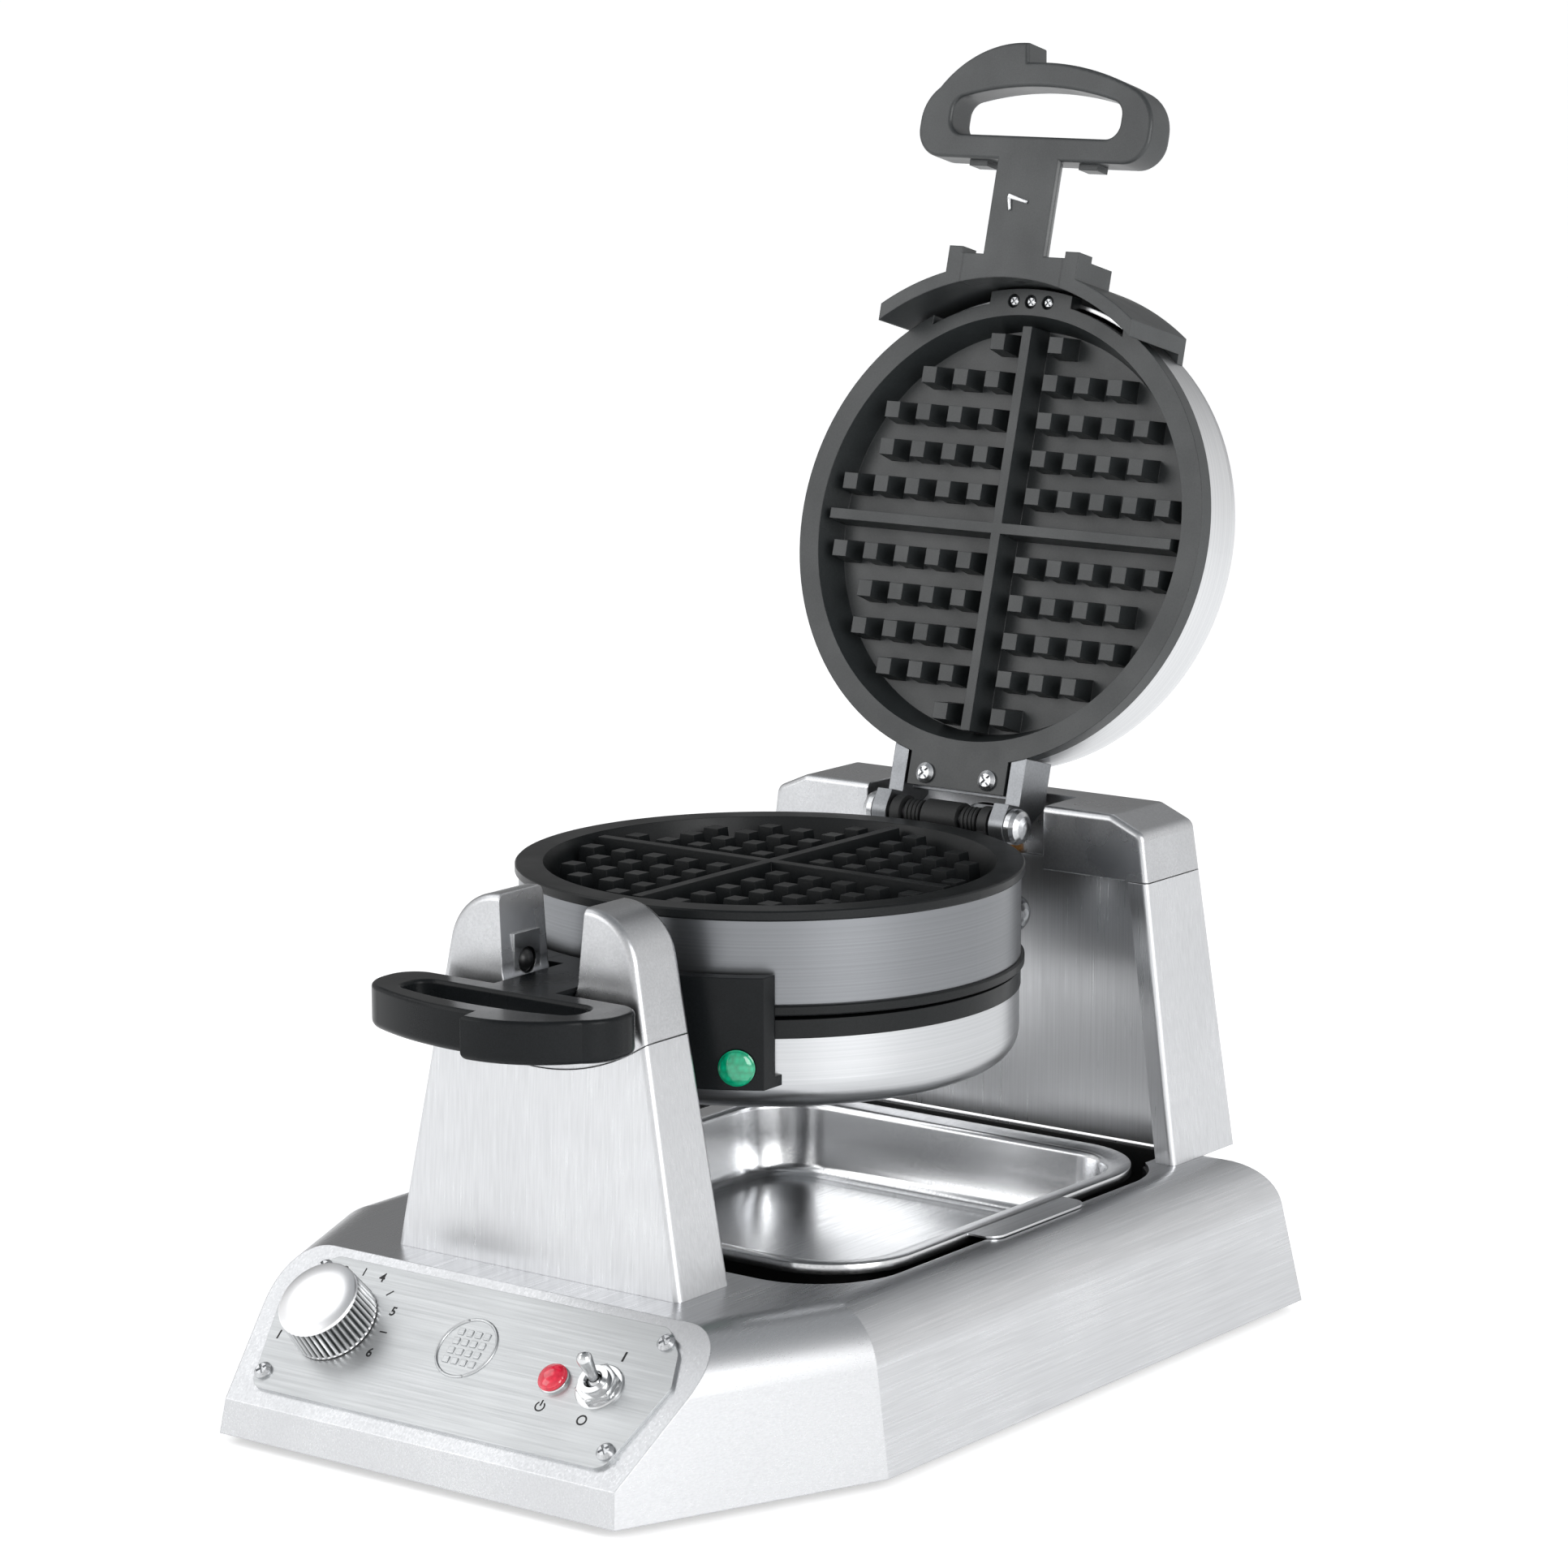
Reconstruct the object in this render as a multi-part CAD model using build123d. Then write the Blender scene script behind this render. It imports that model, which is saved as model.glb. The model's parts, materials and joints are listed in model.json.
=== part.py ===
from build123d import *
import os
from math import atan, cos, degrees, radians, sin, sqrt, tan

# Rotating double waffle maker: a base with a control panel, a front cradle tower, a rear bearing
# tower, and a drum of two cooking bodies that turns between them about the Y axis. Each face of
# the drum is shut by a hinged lid with a loop handle. Millimetres, +Z up, front towards -Y.
# Everything is laid out with the drum's centre at x = y = 0 and the floor at z = 0, and the whole
# is moved at the end so that the origin is the centre of its footprint.

# ---------------------------------------------------------------- driving dimensions
foot_height = 4.0
foot_radius = 9.0
base_front = -219.0            # front edge of the base at its foot
base_rear = 175.5
base_front_half = 94.5         # half width of the front edge
base_shoulder_y = -114.0       # where the front corners end
base_shoulder_half = 139.0
base_rear_half = 141.0
base_height = 61.6             # from the housing's lower edge to its deck
base_draft = 8.8               # degrees of lean of the side walls
shoulder_radius = 24.0
housing_wall = 2.0
lip_height = 11.5              # upright strip below the sloped panel
panel_slope = 41.8             # degrees

grid_radius = 89.0             # cooking recess at its mouth
grid_depth = 13.0
grid_floor_radius = 84.5
grid_floor = 3.0
peg_pitch = 15.8
peg_first = 0.91               # first peg centre, in pitches from a rib's axis
peg_top = 7.0
peg_base = 9.4
peg_height = 11.4
rib_top = 4.6
rib_base = 7.0
rib_height = 12.4
flange_radius = 100.0
lid_flange_radius = 95.0       # in front, where the bracket passes
lid_flange_side = 98.5
flange_thickness = 4.0
lid_flange = 7.2
drum_height = 40.2             # from one cooking flange to the other
drum_axis_z = foot_height + 175.8
band_radius = 98.5
band_wall = 2.0
plate_gap = 0.5                # between a shut lid's flange and the drum's

lid_depth = 29.0               # silver shell behind the lid's flange
lid_shell_radius = 98.0
lid_shell_round = 12.0
lid_wall = 1.6
lid_open = 105.1               # degrees between shut and leaning back
lid_sag = 0.35                 # degrees the lower lid hangs open on the cradle

hinge_y = 121.3
hinge_drop = 2.2               # hinge axis below the lid's flange plane
pin_radius = 4.0
pin_clearance = 0.08
arm_inner = 25.6
arm_width = 7.0
arm_round = 7.5

bracket_inner = 101.3
bracket_outer = 107.0
bracket_half = 62.0
bracket_front = 18.0           # reach towards the other lid
bracket_back = -25.0
hub_half = 33.0
collar_top = 107.2 + 6.0       # radius of the two collar ears' tips

neck_radius = 16.0
handle_half = 57.0
handle_rear = 150.2            # near edge of the loop, from the drum's centre
handle_depth = 41.0
handle_bar = 10.2
hook_rise = 8.0
handle_back = 1.5

front_tower_half = 68.0        # at the deck
front_tower_front = -147.0
front_tower_back = -115.5
front_tower_lean = 0.04        # how far the front face leans back, per mm of height
tower_draft = 0.193            # how far each side leans in, per mm of height
front_tower_top = 202.6        # above the housing's lower edge, as are the heights below
front_seam = 155.0
seam_dip = 15.0
ear_round = 23.0
tower_wall = 2.6
slot_half_low = 18.4
slot_half_high = 21.0
seam_gap = 0.4

rear_tower_half = 109.0
rear_tower_front = 127.0
rear_tower_back = 174.0
rear_recess_y = 152.0
rear_draft = 0.131
rear_seam = 176.0
rear_tower_top = 202.5
cheek = 9.0
hinge_notch_half = 44.0
hinge_notch_floor = 180.0

axle_radius = 11.0
axle_bore = 6.5
axle_clearance = 0.06
bush_wall = 2.5

tray_half = 100.5
tray_front = -82.0
tray_rear = 135.0
tray_corner = 38.0
tray_rim = 8.0
tray_depth = 32.0
tray_wall = 1.0
tray_tab_out = 113.0
tray_tab = (-8.0, 58.0)
tray_proud = 1.2
well_half = 109.0
well_front = -103.0
well_step_y = 135.0
well_rear_half = 96.0

panel_thickness = 1.5
knob_place = (-63.0, 43.0)     # across, and up the slope from the front edge
knob_radius = 15.5
knob_skirt = 18.0
knob_height = 16.0
lamp_place = (44.5, 39.8)
lamp_radius = 6.2
switch_place = (64.8, 40.8)
switch_bush_radius = 6.0
panel_screw_places = [(-82.0, 64.0), (-82.0, 16.5), (82.0, 64.0), (82.0, 16.5)]
lever_throw = 10.0             # degrees each side of upright
ready_lamp_radius = 7.0
ready_lamp_angle = 30.0
ready_lamp_c = -16.3

# ---------------------------------------------------------------- values that follow
deck = foot_height + base_height
base_plan = [(-base_front_half, base_front), (base_front_half, base_front), (base_shoulder_half, base_shoulder_y),
             (base_rear_half, base_rear), (-base_rear_half, base_rear), (-base_shoulder_half, base_shoulder_y)]
half_drum = drum_height / 2
zc = drum_axis_z
upper_face = zc + half_drum                       # upper cooking flange of the drum
lid_face = upper_face + plate_gap                 # flange plane of the shut upper lid
hinge_z = upper_face - hinge_drop
panel_origin = (0, base_front, foot_height + lip_height)
panel_plane = Plane(origin=panel_origin, x_dir=(1, 0, 0),
                    z_dir=(0, -sin(radians(panel_slope)), cos(radians(panel_slope))))
cradle_drop = (hinge_y - front_tower_front) * sin(radians(lid_sag))
cradle_floor = zc - neck_radius - cradle_drop - 0.1
parts = {}


def keep(name, shape, color):
    """Store one named piece, as a compound of its separate solids."""
    solids = shape.solids()
    shape = solids[0] if len(solids) == 1 else Compound(list(solids))
    shape.label = name
    shape.color = Color(color)
    parts[name] = shape


def block(x0, x1, y0, y1, z0, z1):
    """Box between two corners."""
    return Pos((x0 + x1) / 2, (y0 + y1) / 2, (z0 + z1) / 2) * Box(x1 - x0, y1 - y0, z1 - z0)


def rod(start, direction, radius, length):
    """Round bar from a point along a direction."""
    return extrude(Plane(origin=start, z_dir=direction) * Circle(radius), length)


def outline(points, z=0):
    """Face inside straight lines through points in a level plane."""
    return Pos(0, 0, z) * make_face(Polyline(*points, close=True))


def side_profile(points, y0, y1):
    """Outline in X and Z, carried along Y."""
    face = make_face(Polyline(*[(x, 0, z) for x, z in points], close=True))
    return Pos(0, y0, 0) * extrude(face, y1 - y0, dir=(0, 1, 0))


def depth_profile(points, half):
    """Outline in Y and Z, carried along X to both sides."""
    face = make_face(Polyline(*[(0, y, z) for y, z in points], close=True))
    return Pos(-half, 0, 0) * extrude(face, 2 * half, dir=(1, 0, 0))


def pan_screw(plane, places, radius, shank, length, head=2.2):
    """Pan-head cross-recess screws standing on a plane, one solid each."""
    profile = make_face(Polyline((0, -length), (shank, -length), (shank, 0), (radius, 0),
                                 (radius, head * 0.45), (radius * 0.62, head), (0, head), close=True))
    body = revolve(Plane.XZ * profile, Axis.Z)
    slot = radius * 0.28
    for turn in (45, 135):
        body -= Pos(0, 0, head) * Rot(0, 0, turn) * Box(radius * 1.25, slot, head * 0.9)
    return Compound([plane * Pos(u, v, 0) * body for u, v in places])


# ---------------------------------------------------------------- base
def base_block(inset):
    """Drafted, round-shouldered sides on the base's plan, mitred where they meet, and sloped for the panel."""
    lean = tan(radians(base_draft))
    height = base_height - inset
    solid = block(-300, 300, -400, 400, 0, height)
    for start, end in zip(base_plan, base_plan[1:] + base_plan[:1]):
        along = (Vector(*end) - Vector(*start)).normalized()
        outward = along.cross(Vector(0, 0, 1))
        side = make_face(Polyline((-600, 0), (-inset, 0), (-inset - lean * height, height), (-600, height), close=True))
        shoulder = side.vertices().sort_by(Axis.Y)[-2:].sort_by(Axis.X)[-1]
        side = fillet(shoulder, shoulder_radius - inset)
        plane = Plane(origin=start, x_dir=outward, z_dir=-along)
        solid &= extrude(plane * side, 600, both=True)
    run = (base_height + 40) / tan(radians(panel_slope))
    fall = inset / cos(radians(panel_slope))
    cut = depth_profile([(base_front - 40, lip_height - fall - 40 * tan(radians(panel_slope))),
                         (base_front + run, lip_height - fall + base_height + 40),
                         (base_front - 40, lip_height - fall + base_height + 40)], 200)
    return Pos(0, 0, foot_height) * (solid - cut)


def well_plan(inset, z):
    """Opening of the drip tray's well, stepped in between the rear tower's cheeks."""
    wide = Pos(0, (well_front + well_step_y) / 2, z) * RectangleRounded(
        2 * (well_half - inset), well_step_y - well_front - 2 * inset, tray_corner - inset)
    narrow = Pos(0, (well_step_y + rear_recess_y) / 2 - 15, z) * Rectangle(
        2 * (well_rear_half - inset), rear_recess_y - well_step_y + 30 - 2 * inset)
    return wide + narrow


housing = base_block(0) - base_block(housing_wall)
housing -= block(-200, 200, base_front - 5, base_rear + 5, -5, foot_height)
housing -= extrude(well_plan(0, deck - 6), 12)
panel_holes = [(knob_place, 5.2), (lamp_place, lamp_radius - 1.2), (switch_place, switch_bush_radius + 0.3)]
for (u, v), r in panel_holes:
    housing -= panel_plane * Pos(u, v, -8) * extrude(Circle(r), 12)
for u, v in panel_screw_places:
    housing -= panel_plane * Pos(u, v, -8) * extrude(Circle(1.6), 12)
gland_height = foot_height + 26.0
gland_x = -95.0
gland_bore = 4.0
gland_hole = 8.0
gland_seat_y = base_rear - 26 * tan(radians(base_draft))
housing -= rod((gland_x, base_rear - 20, gland_height), (0, 1, 0), gland_hole, 30)
wire_holes = [(-30, front_tower_front + 14), (30, front_tower_front + 14)]
for x, y in wire_holes:
    housing -= Pos(x, y, deck - 8) * extrude(Circle(5), 16)
rear_wire_y = (rear_recess_y + rear_tower_back) / 2 + 1
housing -= Pos(0, rear_wire_y, deck - 8) * extrude(Circle(6), 16)
keep("base_housing", housing, "silver")

cover_inset = housing_wall + 1.2
cover = base_block(cover_inset) & block(-200, 200, base_front, base_rear, foot_height + 1, foot_height + 2.6)
foot_places = [(-92, base_front + 62), (92, base_front + 62),
               (-base_rear_half + 28, base_rear - 30), (base_rear_half - 28, base_rear - 30)]
cover_screw_places = [(-60, base_front + 22), (60, base_front + 22), (-118, 0), (118, 0),
                      (-60, base_rear - 22), (60, base_rear - 22)]
for x, y in foot_places:
    cover -= Pos(x, y, 0) * extrude(Circle(3.2), 20)
for x, y in cover_screw_places:
    cover -= Pos(x, y, 0) * extrude(Circle(1.7), 20)
keep("bottom_cover", cover, "gray")

foot_section = make_face(Polyline((0, 0), (foot_radius - 1, 0), (foot_radius, 1), (foot_radius - 1.5, foot_height + 1),
                                  (3.0, foot_height + 1), (3.0, foot_height + 2.6), (4.6, foot_height + 3.4),
                                  (0, foot_height + 3.4), close=True))
foot = revolve(Plane.XZ * foot_section, Axis.Z)
keep("rubber_feet", Compound([Pos(x, y, 0) * foot for x, y in foot_places]), "black")
cover_plane = Plane(origin=(0, 0, foot_height + 1), x_dir=(1, 0, 0), z_dir=(0, 0, -1))
keep("cover_screws", pan_screw(cover_plane, [(x, -y) for x, y in cover_screw_places], 3.2, 1.5, 7, 1.6), "silver")

# Sheet-metal well below the drip tray, hung from the deck's underside by a turned-out rim
well_floor = deck - tray_depth - 5
liner = extrude(well_plan(0, well_floor), deck - housing_wall - well_floor)
liner -= extrude(well_plan(1.0, well_floor + 1), deck)
keep("tray_well", liner, "black")

# ---------------------------------------------------------------- control panel
plate = make_face(Polyline((-84, 9.5), (84, 9.5), (93.8, 47), (89, 61), (79.6, 70.5),
                           (-79.6, 70.5), (-89, 61), (-93.8, 47), close=True))
plate = fillet(plate.vertices(), 6)
panel = extrude(plate, panel_thickness)
panel -= Pos(*knob_place, -1) * extrude(Circle(5.2), 5)
panel -= Pos(*lamp_place, -1) * extrude(Circle(lamp_radius - 1.2), 5)
panel -= Pos(*switch_place, -1) * extrude(Circle(switch_bush_radius + 0.3), 5)
for u, v in panel_screw_places:
    panel -= Pos(u, v, -1) * extrude(Circle(1.6), 5)
keep("control_panel", panel_plane * panel, "black")
panel_face = panel_plane.offset(panel_thickness)
keep("panel_screws", pan_screw(panel_face, panel_screw_places, 3.6, 1.5, 8), "silver")

at_lamp = panel_face * Pos(*lamp_place, 0)
bezel = Cylinder(lamp_radius, 1.4, align=(Align.CENTER, Align.CENTER, Align.MIN))
bezel = fillet(bezel.edges().sort_by(Axis.Z)[-1], 0.8) - Cylinder(lamp_radius - 1.2, 20)
keep("lamp_bezel", at_lamp * bezel, "silver")
lens_radius = lamp_radius - 1.2
lens = revolve(Plane.XZ * make_face(Polyline((0, -9), (lens_radius, -9), (lens_radius, 1.6), (lens_radius - 0.5, 2.4),
                                             (lens_radius - 2, 3.2), (0, 3.6), close=True)), Axis.Z)
keep("pilot_lamp", at_lamp * lens, "red")

at_switch = panel_face * Pos(*switch_place, 0)
below = -panel_thickness - housing_wall / cos(radians(panel_slope)) - 0.3
bush = extrude(Circle(switch_bush_radius), 6.0 - below)
switch = Pos(0, 0, below) * bush + Pos(0, 0, below - 11) * Box(13, 22, 22)
lever_pivot = 2.5
switch -= Pos(0, 0, lever_pivot) * Sphere(3.9)
switch -= Pos(0, 0, lever_pivot) * Cone(2.0, 5.0, 6, align=(Align.CENTER, Align.CENTER, Align.MIN))
keep("switch_body", at_switch * switch, "silver")
nut = extrude(RegularPolygon(8.6, 6), 2.6) - Pos(0, 0, -1) * extrude(Circle(switch_bush_radius), 5)
washer = extrude(Circle(9.6) - Circle(switch_bush_radius), 1.0)
keep("switch_nut", at_switch * (Pos(0, 0, 1.0) * nut + washer), "silver")
bat = revolve(Plane.XZ * make_face(Polyline((0, 1.5), (1.5, 1.5), (1.7, 6), (2.6, 13.2), (2.2, 15), (1.2, 15.9),
                                            (0, 16.1), close=True)), Axis.Z) + Sphere(3.5)
keep("toggle_lever", at_switch * Pos(0, 0, lever_pivot) * Rot(-lever_throw, 0, 0) * bat, "silver")

at_knob = panel_face * Pos(*knob_place, 0)
shaft_radius = 3.0
control = Pos(0, 0, below - 10) * Box(30, 30, 20) + Pos(0, 0, below) * extrude(Circle(5.0), 4.0 - below)
control -= Pos(0, 0, below - 14) * extrude(Circle(shaft_radius + 0.06), 40)
keep("regulator_body", at_knob * control, "beige")
knob_gap = 0.6
shaft = Pos(0, 0, below - 13) * extrude(Circle(shaft_radius), 13 - below + knob_height - 4)
keep("regulator_shaft", at_knob * shaft, "silver")
grip = revolve(Plane.XZ * make_face(Polyline((0, knob_gap), (knob_skirt, knob_gap), (knob_skirt, knob_gap + 1.6),
                                             (knob_radius + 0.6, knob_gap + 3.4), (knob_radius, knob_height - 1.6),
                                             (knob_radius - 1.4, knob_height), (0, knob_height), close=True)), Axis.Z)
flute_count = 28
for k in range(flute_count):
    grip -= Rot(0, 0, k * 360 / flute_count) * Pos(knob_radius + 0.9, 0, knob_gap + 2.5) * extrude(Circle(1.25), knob_height)
grip -= extrude(Circle(6.0), 4.6)
grip -= extrude(Circle(shaft_radius), knob_height - 4)
grip -= Pos(0, knob_radius - 4.5, knob_height) * Box(1.6, 9, 1.2)
keep("control_knob", at_knob * grip, "silver")

# ---------------------------------------------------------------- front tower
def front_tower(inset, foot):
    """Leaning, drafted upright with two rounded shoulders, standing from the height foot."""
    slope = tower_draft
    top = front_tower_top - inset

    def half(z):
        return front_tower_half - slope * (z - base_height) - inset

    face = make_face(Polyline(*[(x, 0, foot_height + z) for x, z in
                                ((-half(foot), foot), (half(foot), foot), (half(top), top), (-half(top), top))],
                              close=True))
    face = fillet(face.vertices().sort_by(Axis.Z)[-2:], ear_round - inset)
    solid = Pos(0, front_tower_front - 5, 0) * extrude(face, 60, dir=(0, 1, 0))
    lean = front_tower_lean
    front = front_tower_front + inset
    side = depth_profile([(front + lean * (foot - base_height), foot_height + foot),
                          (front_tower_back - inset, foot_height + foot),
                          (front_tower_back - inset, foot_height + top + 1),
                          (front + lean * (top + 1 - base_height), foot_height + top + 1)], 200)
    return solid & side


def cradle_slot(grow):
    """U-shaped slot between the two ears, round at its floor, widened by grow."""
    round_z = cradle_floor + slot_half_low
    top = foot_height + front_tower_top + 5
    low, high = slot_half_low + grow, slot_half_high + grow
    walls = side_profile([(-low, round_z), (low, round_z), (high, top), (-high, top)], -200, -50)
    return walls + rod((0, -200, round_z), (0, 1, 0), low, 150)


def cap_region(shift):
    """Space of the cast cap: above the seam, with the bowed chin on the front face."""
    seam = foot_height + front_seam + shift
    half = front_tower_half - tower_draft * (front_seam - base_height)
    bow = (half ** 2 + seam_dip ** 2) / (2 * seam_dip)
    chin = rod((0, front_tower_front - 5, seam - seam_dip + bow), (0, 1, 0), bow, 5 + tower_wall + 6)
    chin &= block(-half, half, -200, 0, 0, seam + 1)
    return block(-200, 200, -200, -50, seam, seam + 200) + chin


tower = front_tower(0, base_height)
tower = fillet(tower.edges().filter_by(lambda e: abs(e.tangent_at(0.5).Z) > 0.9), 3.0)
hollow = front_tower(tower_wall, base_height - 5) - cradle_slot(tower_wall)
tower -= cradle_slot(0)
ball_radius = 5.0
ball_proud = neck_radius + 0.6          # tip of each ball, from the drum's axis
ball_y = (front_tower_front + front_tower_back) / 2 + 3.5
boss_end = 36.0
plate_face = slot_half_low - 0.3
bosses = rod((-boss_end, ball_y, zc), (1, 0, 0), 8.0, 2 * boss_end)
front_cap = (tower - hollow) & cap_region(seam_gap)
front_cap += (bosses & front_tower(1, base_height)) - cradle_slot(0)
bore = rod((-boss_end + 2, ball_y, zc), (1, 0, 0), ball_radius + 0.06, 2 * boss_end - 4)
plate_pair = block(-plate_face - 1.6, -plate_face, ball_y - 7.5, ball_y + 7.5, zc - 8, zc + 11)
plate_pair += block(plate_face, plate_face + 1.6, ball_y - 7.5, ball_y + 7.5, zc - 8, zc + 11)
front_cap -= bore + plate_pair
keep("front_tower_cap", front_cap, "lightgray")
keep("front_tower_shell", (tower - hollow) - cap_region(0), "silver")
keep("detent_plates", plate_pair - bore, "silver")
ball_x = ball_proud + ball_radius
for name, side in (("detent_ball_left", -1), ("detent_ball_right", 1)):
    keep(name, Pos(side * ball_x, ball_y, zc) * Sphere(ball_radius), "black")
ball_travel = 1.2
spring_wire = 0.6
spring_start = ball_x + ball_radius + ball_travel + spring_wire + 0.3
spring_pitch = (boss_end - 2 - spring_wire - 0.2 - spring_start) / 3
coil = [Pos(side * (spring_start + spring_pitch * k), ball_y, zc) * Rot(0, 90, 0) * Torus(3.6, spring_wire)
        for side in (-1, 1) for k in range(4)]
keep("detent_springs", Compound(coil), "silver")

# ---------------------------------------------------------------- rear tower
def rear_half(z):
    """Half width of the rear tower at a height above the housing's lower edge."""
    return rear_tower_half - rear_draft * (z - base_height)


def rear_tower(inset, foot):
    """Wide drafted upright with bevelled shoulders and a back that leans forward."""
    top = rear_tower_top - inset
    edge = rear_tower_top - 6.5
    points = [(-rear_half(foot) + inset, foot), (rear_half(foot) - inset, foot), (rear_half(edge) - inset, edge - inset / 2),
              (rear_half(edge) - 15 - inset / 2, top), (-rear_half(edge) + 15 + inset / 2, top),
              (-rear_half(edge) + inset, edge - inset / 2)]
    face = make_face(Polyline(*[(x, 0, foot_height + z) for x, z in points], close=True))
    face = fillet(face.vertices().sort_by(Axis.Z)[-4:], 5)
    solid = Pos(0, rear_tower_front - 10, 0) * extrude(face, 80, dir=(0, 1, 0))
    lean = 0.053
    side = depth_profile([(rear_tower_front + inset, foot_height + foot),
                          (rear_tower_back - inset - lean * (foot - base_height), foot_height + foot),
                          (rear_tower_back - inset - lean * (top - base_height), foot_height + top + 0.5),
                          (rear_tower_front + inset, foot_height + top + 0.5)], 200)
    return solid & side


outer = rear_tower(0, base_height)
outer = fillet(outer.edges().filter_by(lambda e: abs(e.tangent_at(0.5).Z) > 0.9), 2.5)
recess = side_profile([(-rear_half(base_height - 5) + cheek, foot_height + base_height - 5),
                       (rear_half(base_height - 5) - cheek, foot_height + base_height - 5),
                       (rear_half(rear_seam) - cheek, foot_height + rear_seam),
                       (-rear_half(rear_seam) + cheek, foot_height + rear_seam)], rear_tower_front - 20, rear_recess_y)
inside = rear_tower(tower_wall, base_height - 5)
behind = inside & block(-200, 200, rear_recess_y + tower_wall, 300, 0, 400)
seam_z = foot_height + rear_seam
axle_hole = rod((0, 120, zc), (0, 1, 0), axle_radius + bush_wall, 42)
clear_radius = axle_radius + bush_wall + 6
notch = block(-hinge_notch_half, hinge_notch_half, rear_tower_front - 10, rear_recess_y,
              foot_height + rear_seam - 1, 300)
keep("rear_tower_shell", (outer - recess - behind - axle_hole) - block(-200, 200, 0, 300, seam_z, 400), "silver")
notch_lining = block(-hinge_notch_half - tower_wall, hinge_notch_half + tower_wall, rear_tower_front - 10,
                     rear_recess_y + tower_wall, foot_height + rear_seam - 1, 300)
rear_cap = (outer - (inside - notch_lining)) & block(-200, 200, 0, 300, seam_z + seam_gap, 400)
rear_cap -= notch
rear_cap -= rod((0, 120, zc), (0, 1, 0), clear_radius, 42)
keep("rear_tower_cap", rear_cap, "lightgray")

bush_front, bush_rear = rear_recess_y - 1.0, rear_recess_y + 9.0
bearing_plate = block(-30, 30, rear_recess_y + tower_wall, rear_recess_y + tower_wall + 3, zc - 34, zc + 18)
axle_bush = rod((0, bush_front, zc), (0, 1, 0), axle_radius + bush_wall, bush_rear - bush_front)
axle_bush -= rod((0, bush_front - 1, zc), (0, 1, 0), axle_radius + axle_clearance, 40)
bearing_plate -= rod((0, 120, zc), (0, 1, 0), axle_radius + bush_wall, 80)
keep("axle_bush", axle_bush, "gold")
keep("bearing_plate", bearing_plate, "gray")

# ---------------------------------------------------------------- drum
def grid_insert():
    """Basin, pegs and cross rib of a cooking plate, opening upwards at z = 0."""
    slant = [(0, -grid_depth), (grid_floor_radius, -grid_depth), (grid_radius, 0), (grid_radius + 3, 0),
             (grid_floor_radius + 3, -grid_depth - grid_floor), (0, -grid_depth - grid_floor)]
    basin = revolve(Plane.XZ * make_face(Polyline(*slant, close=True)), Axis.Z)
    bowl = Pos(0, 0, -grid_depth) * extrude(Circle(grid_floor_radius), grid_depth - 0.4)
    lean = degrees(atan((peg_base - peg_top) / 2 / peg_height))
    peg = Pos(0, 0, -grid_depth - 1) * extrude(Rectangle(peg_base, peg_base), peg_height + 1, taper=lean)
    lean = degrees(atan((rib_base - rib_top) / 2 / rib_height))
    rib = Pos(0, 0, -grid_depth - 1) * extrude(Rectangle(2 * grid_radius, rib_base), rib_height + 1, taper=lean)
    raised = [rib & bowl, (Rot(0, 0, 90) * rib) & bowl]
    reach = grid_floor_radius - 0.3 * peg_base
    for i in range(5):
        for j in range(5):
            u, v = (i + peg_first) * peg_pitch, (j + peg_first) * peg_pitch
            if sqrt(u * u + v * v) > reach:
                continue
            whole = sqrt((u + peg_base / 2) ** 2 + (v + peg_base / 2) ** 2) < grid_floor_radius
            for a, b in ((1, 1), (-1, 1), (1, -1), (-1, -1)):
                one = Pos(a * u, b * v, 0) * peg
                raised.append(one if whole else one & bowl)
    return basin.fuse(*[solid for shape in raised for solid in shape.solids()])


grid = grid_insert()
ring = extrude(Circle(flange_radius) - Circle(grid_radius + 2.9), -flange_thickness)
ring = chamfer(ring.edges().filter_by(GeomType.CIRCLE).sort_by(SortBy.RADIUS)[-2:], 0.6)
body_plate = ring + grid
keep("upper_body_plate", Pos(0, 0, upper_face) * body_plate, "black")
keep("lower_body_plate", Pos(0, 0, zc - half_drum) * Rot(0, 180, 0) * body_plate, "black")

band_height = drum_height - 2 * flange_thickness
band = Pos(0, 0, zc) * (Cylinder(band_radius, band_height) - Cylinder(band_radius - band_wall, band_height + 1))
band -= rod((0, 60, zc), (0, 1, 0), axle_radius, 60)
yoke_screw_x = 19.5
for side in (-1, 1):
    band -= rod((side * yoke_screw_x, 60, zc), (0, 1, 0), 2.0, 60)
keep("drum_band", band, "silver")

heater_tube = 3.4
keep("body_heater", Pos(0, 0, zc) * Torus(60, heater_tube), "brown")
keep("body_sensor", rod((0, 84.0, zc - 0.1), (0, -1, 0), 2.6, 14), "tan")

axle_front = sqrt((band_radius - band_wall) ** 2 - 16 ** 2) - 3.0
axle_rear = rear_recess_y + 12.0
axle = rod((0, axle_front, zc), (0, 1, 0), axle_radius, axle_rear - axle_front)
axle += rod((0, axle_front, zc), (0, 1, 0), 15.4, 2.4)
axle -= rod((0, axle_front - 1, zc), (0, 1, 0), axle_bore, 200)
keep("rear_axle", axle, "gray")
collar_gap = 0.4
collar = rod((0, bush_rear + collar_gap, zc), (0, 1, 0), 15.5, axle_rear - bush_rear - collar_gap)
keep("axle_collar", collar - rod((0, 100, zc), (0, 1, 0), axle_radius, 200), "silver")

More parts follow.
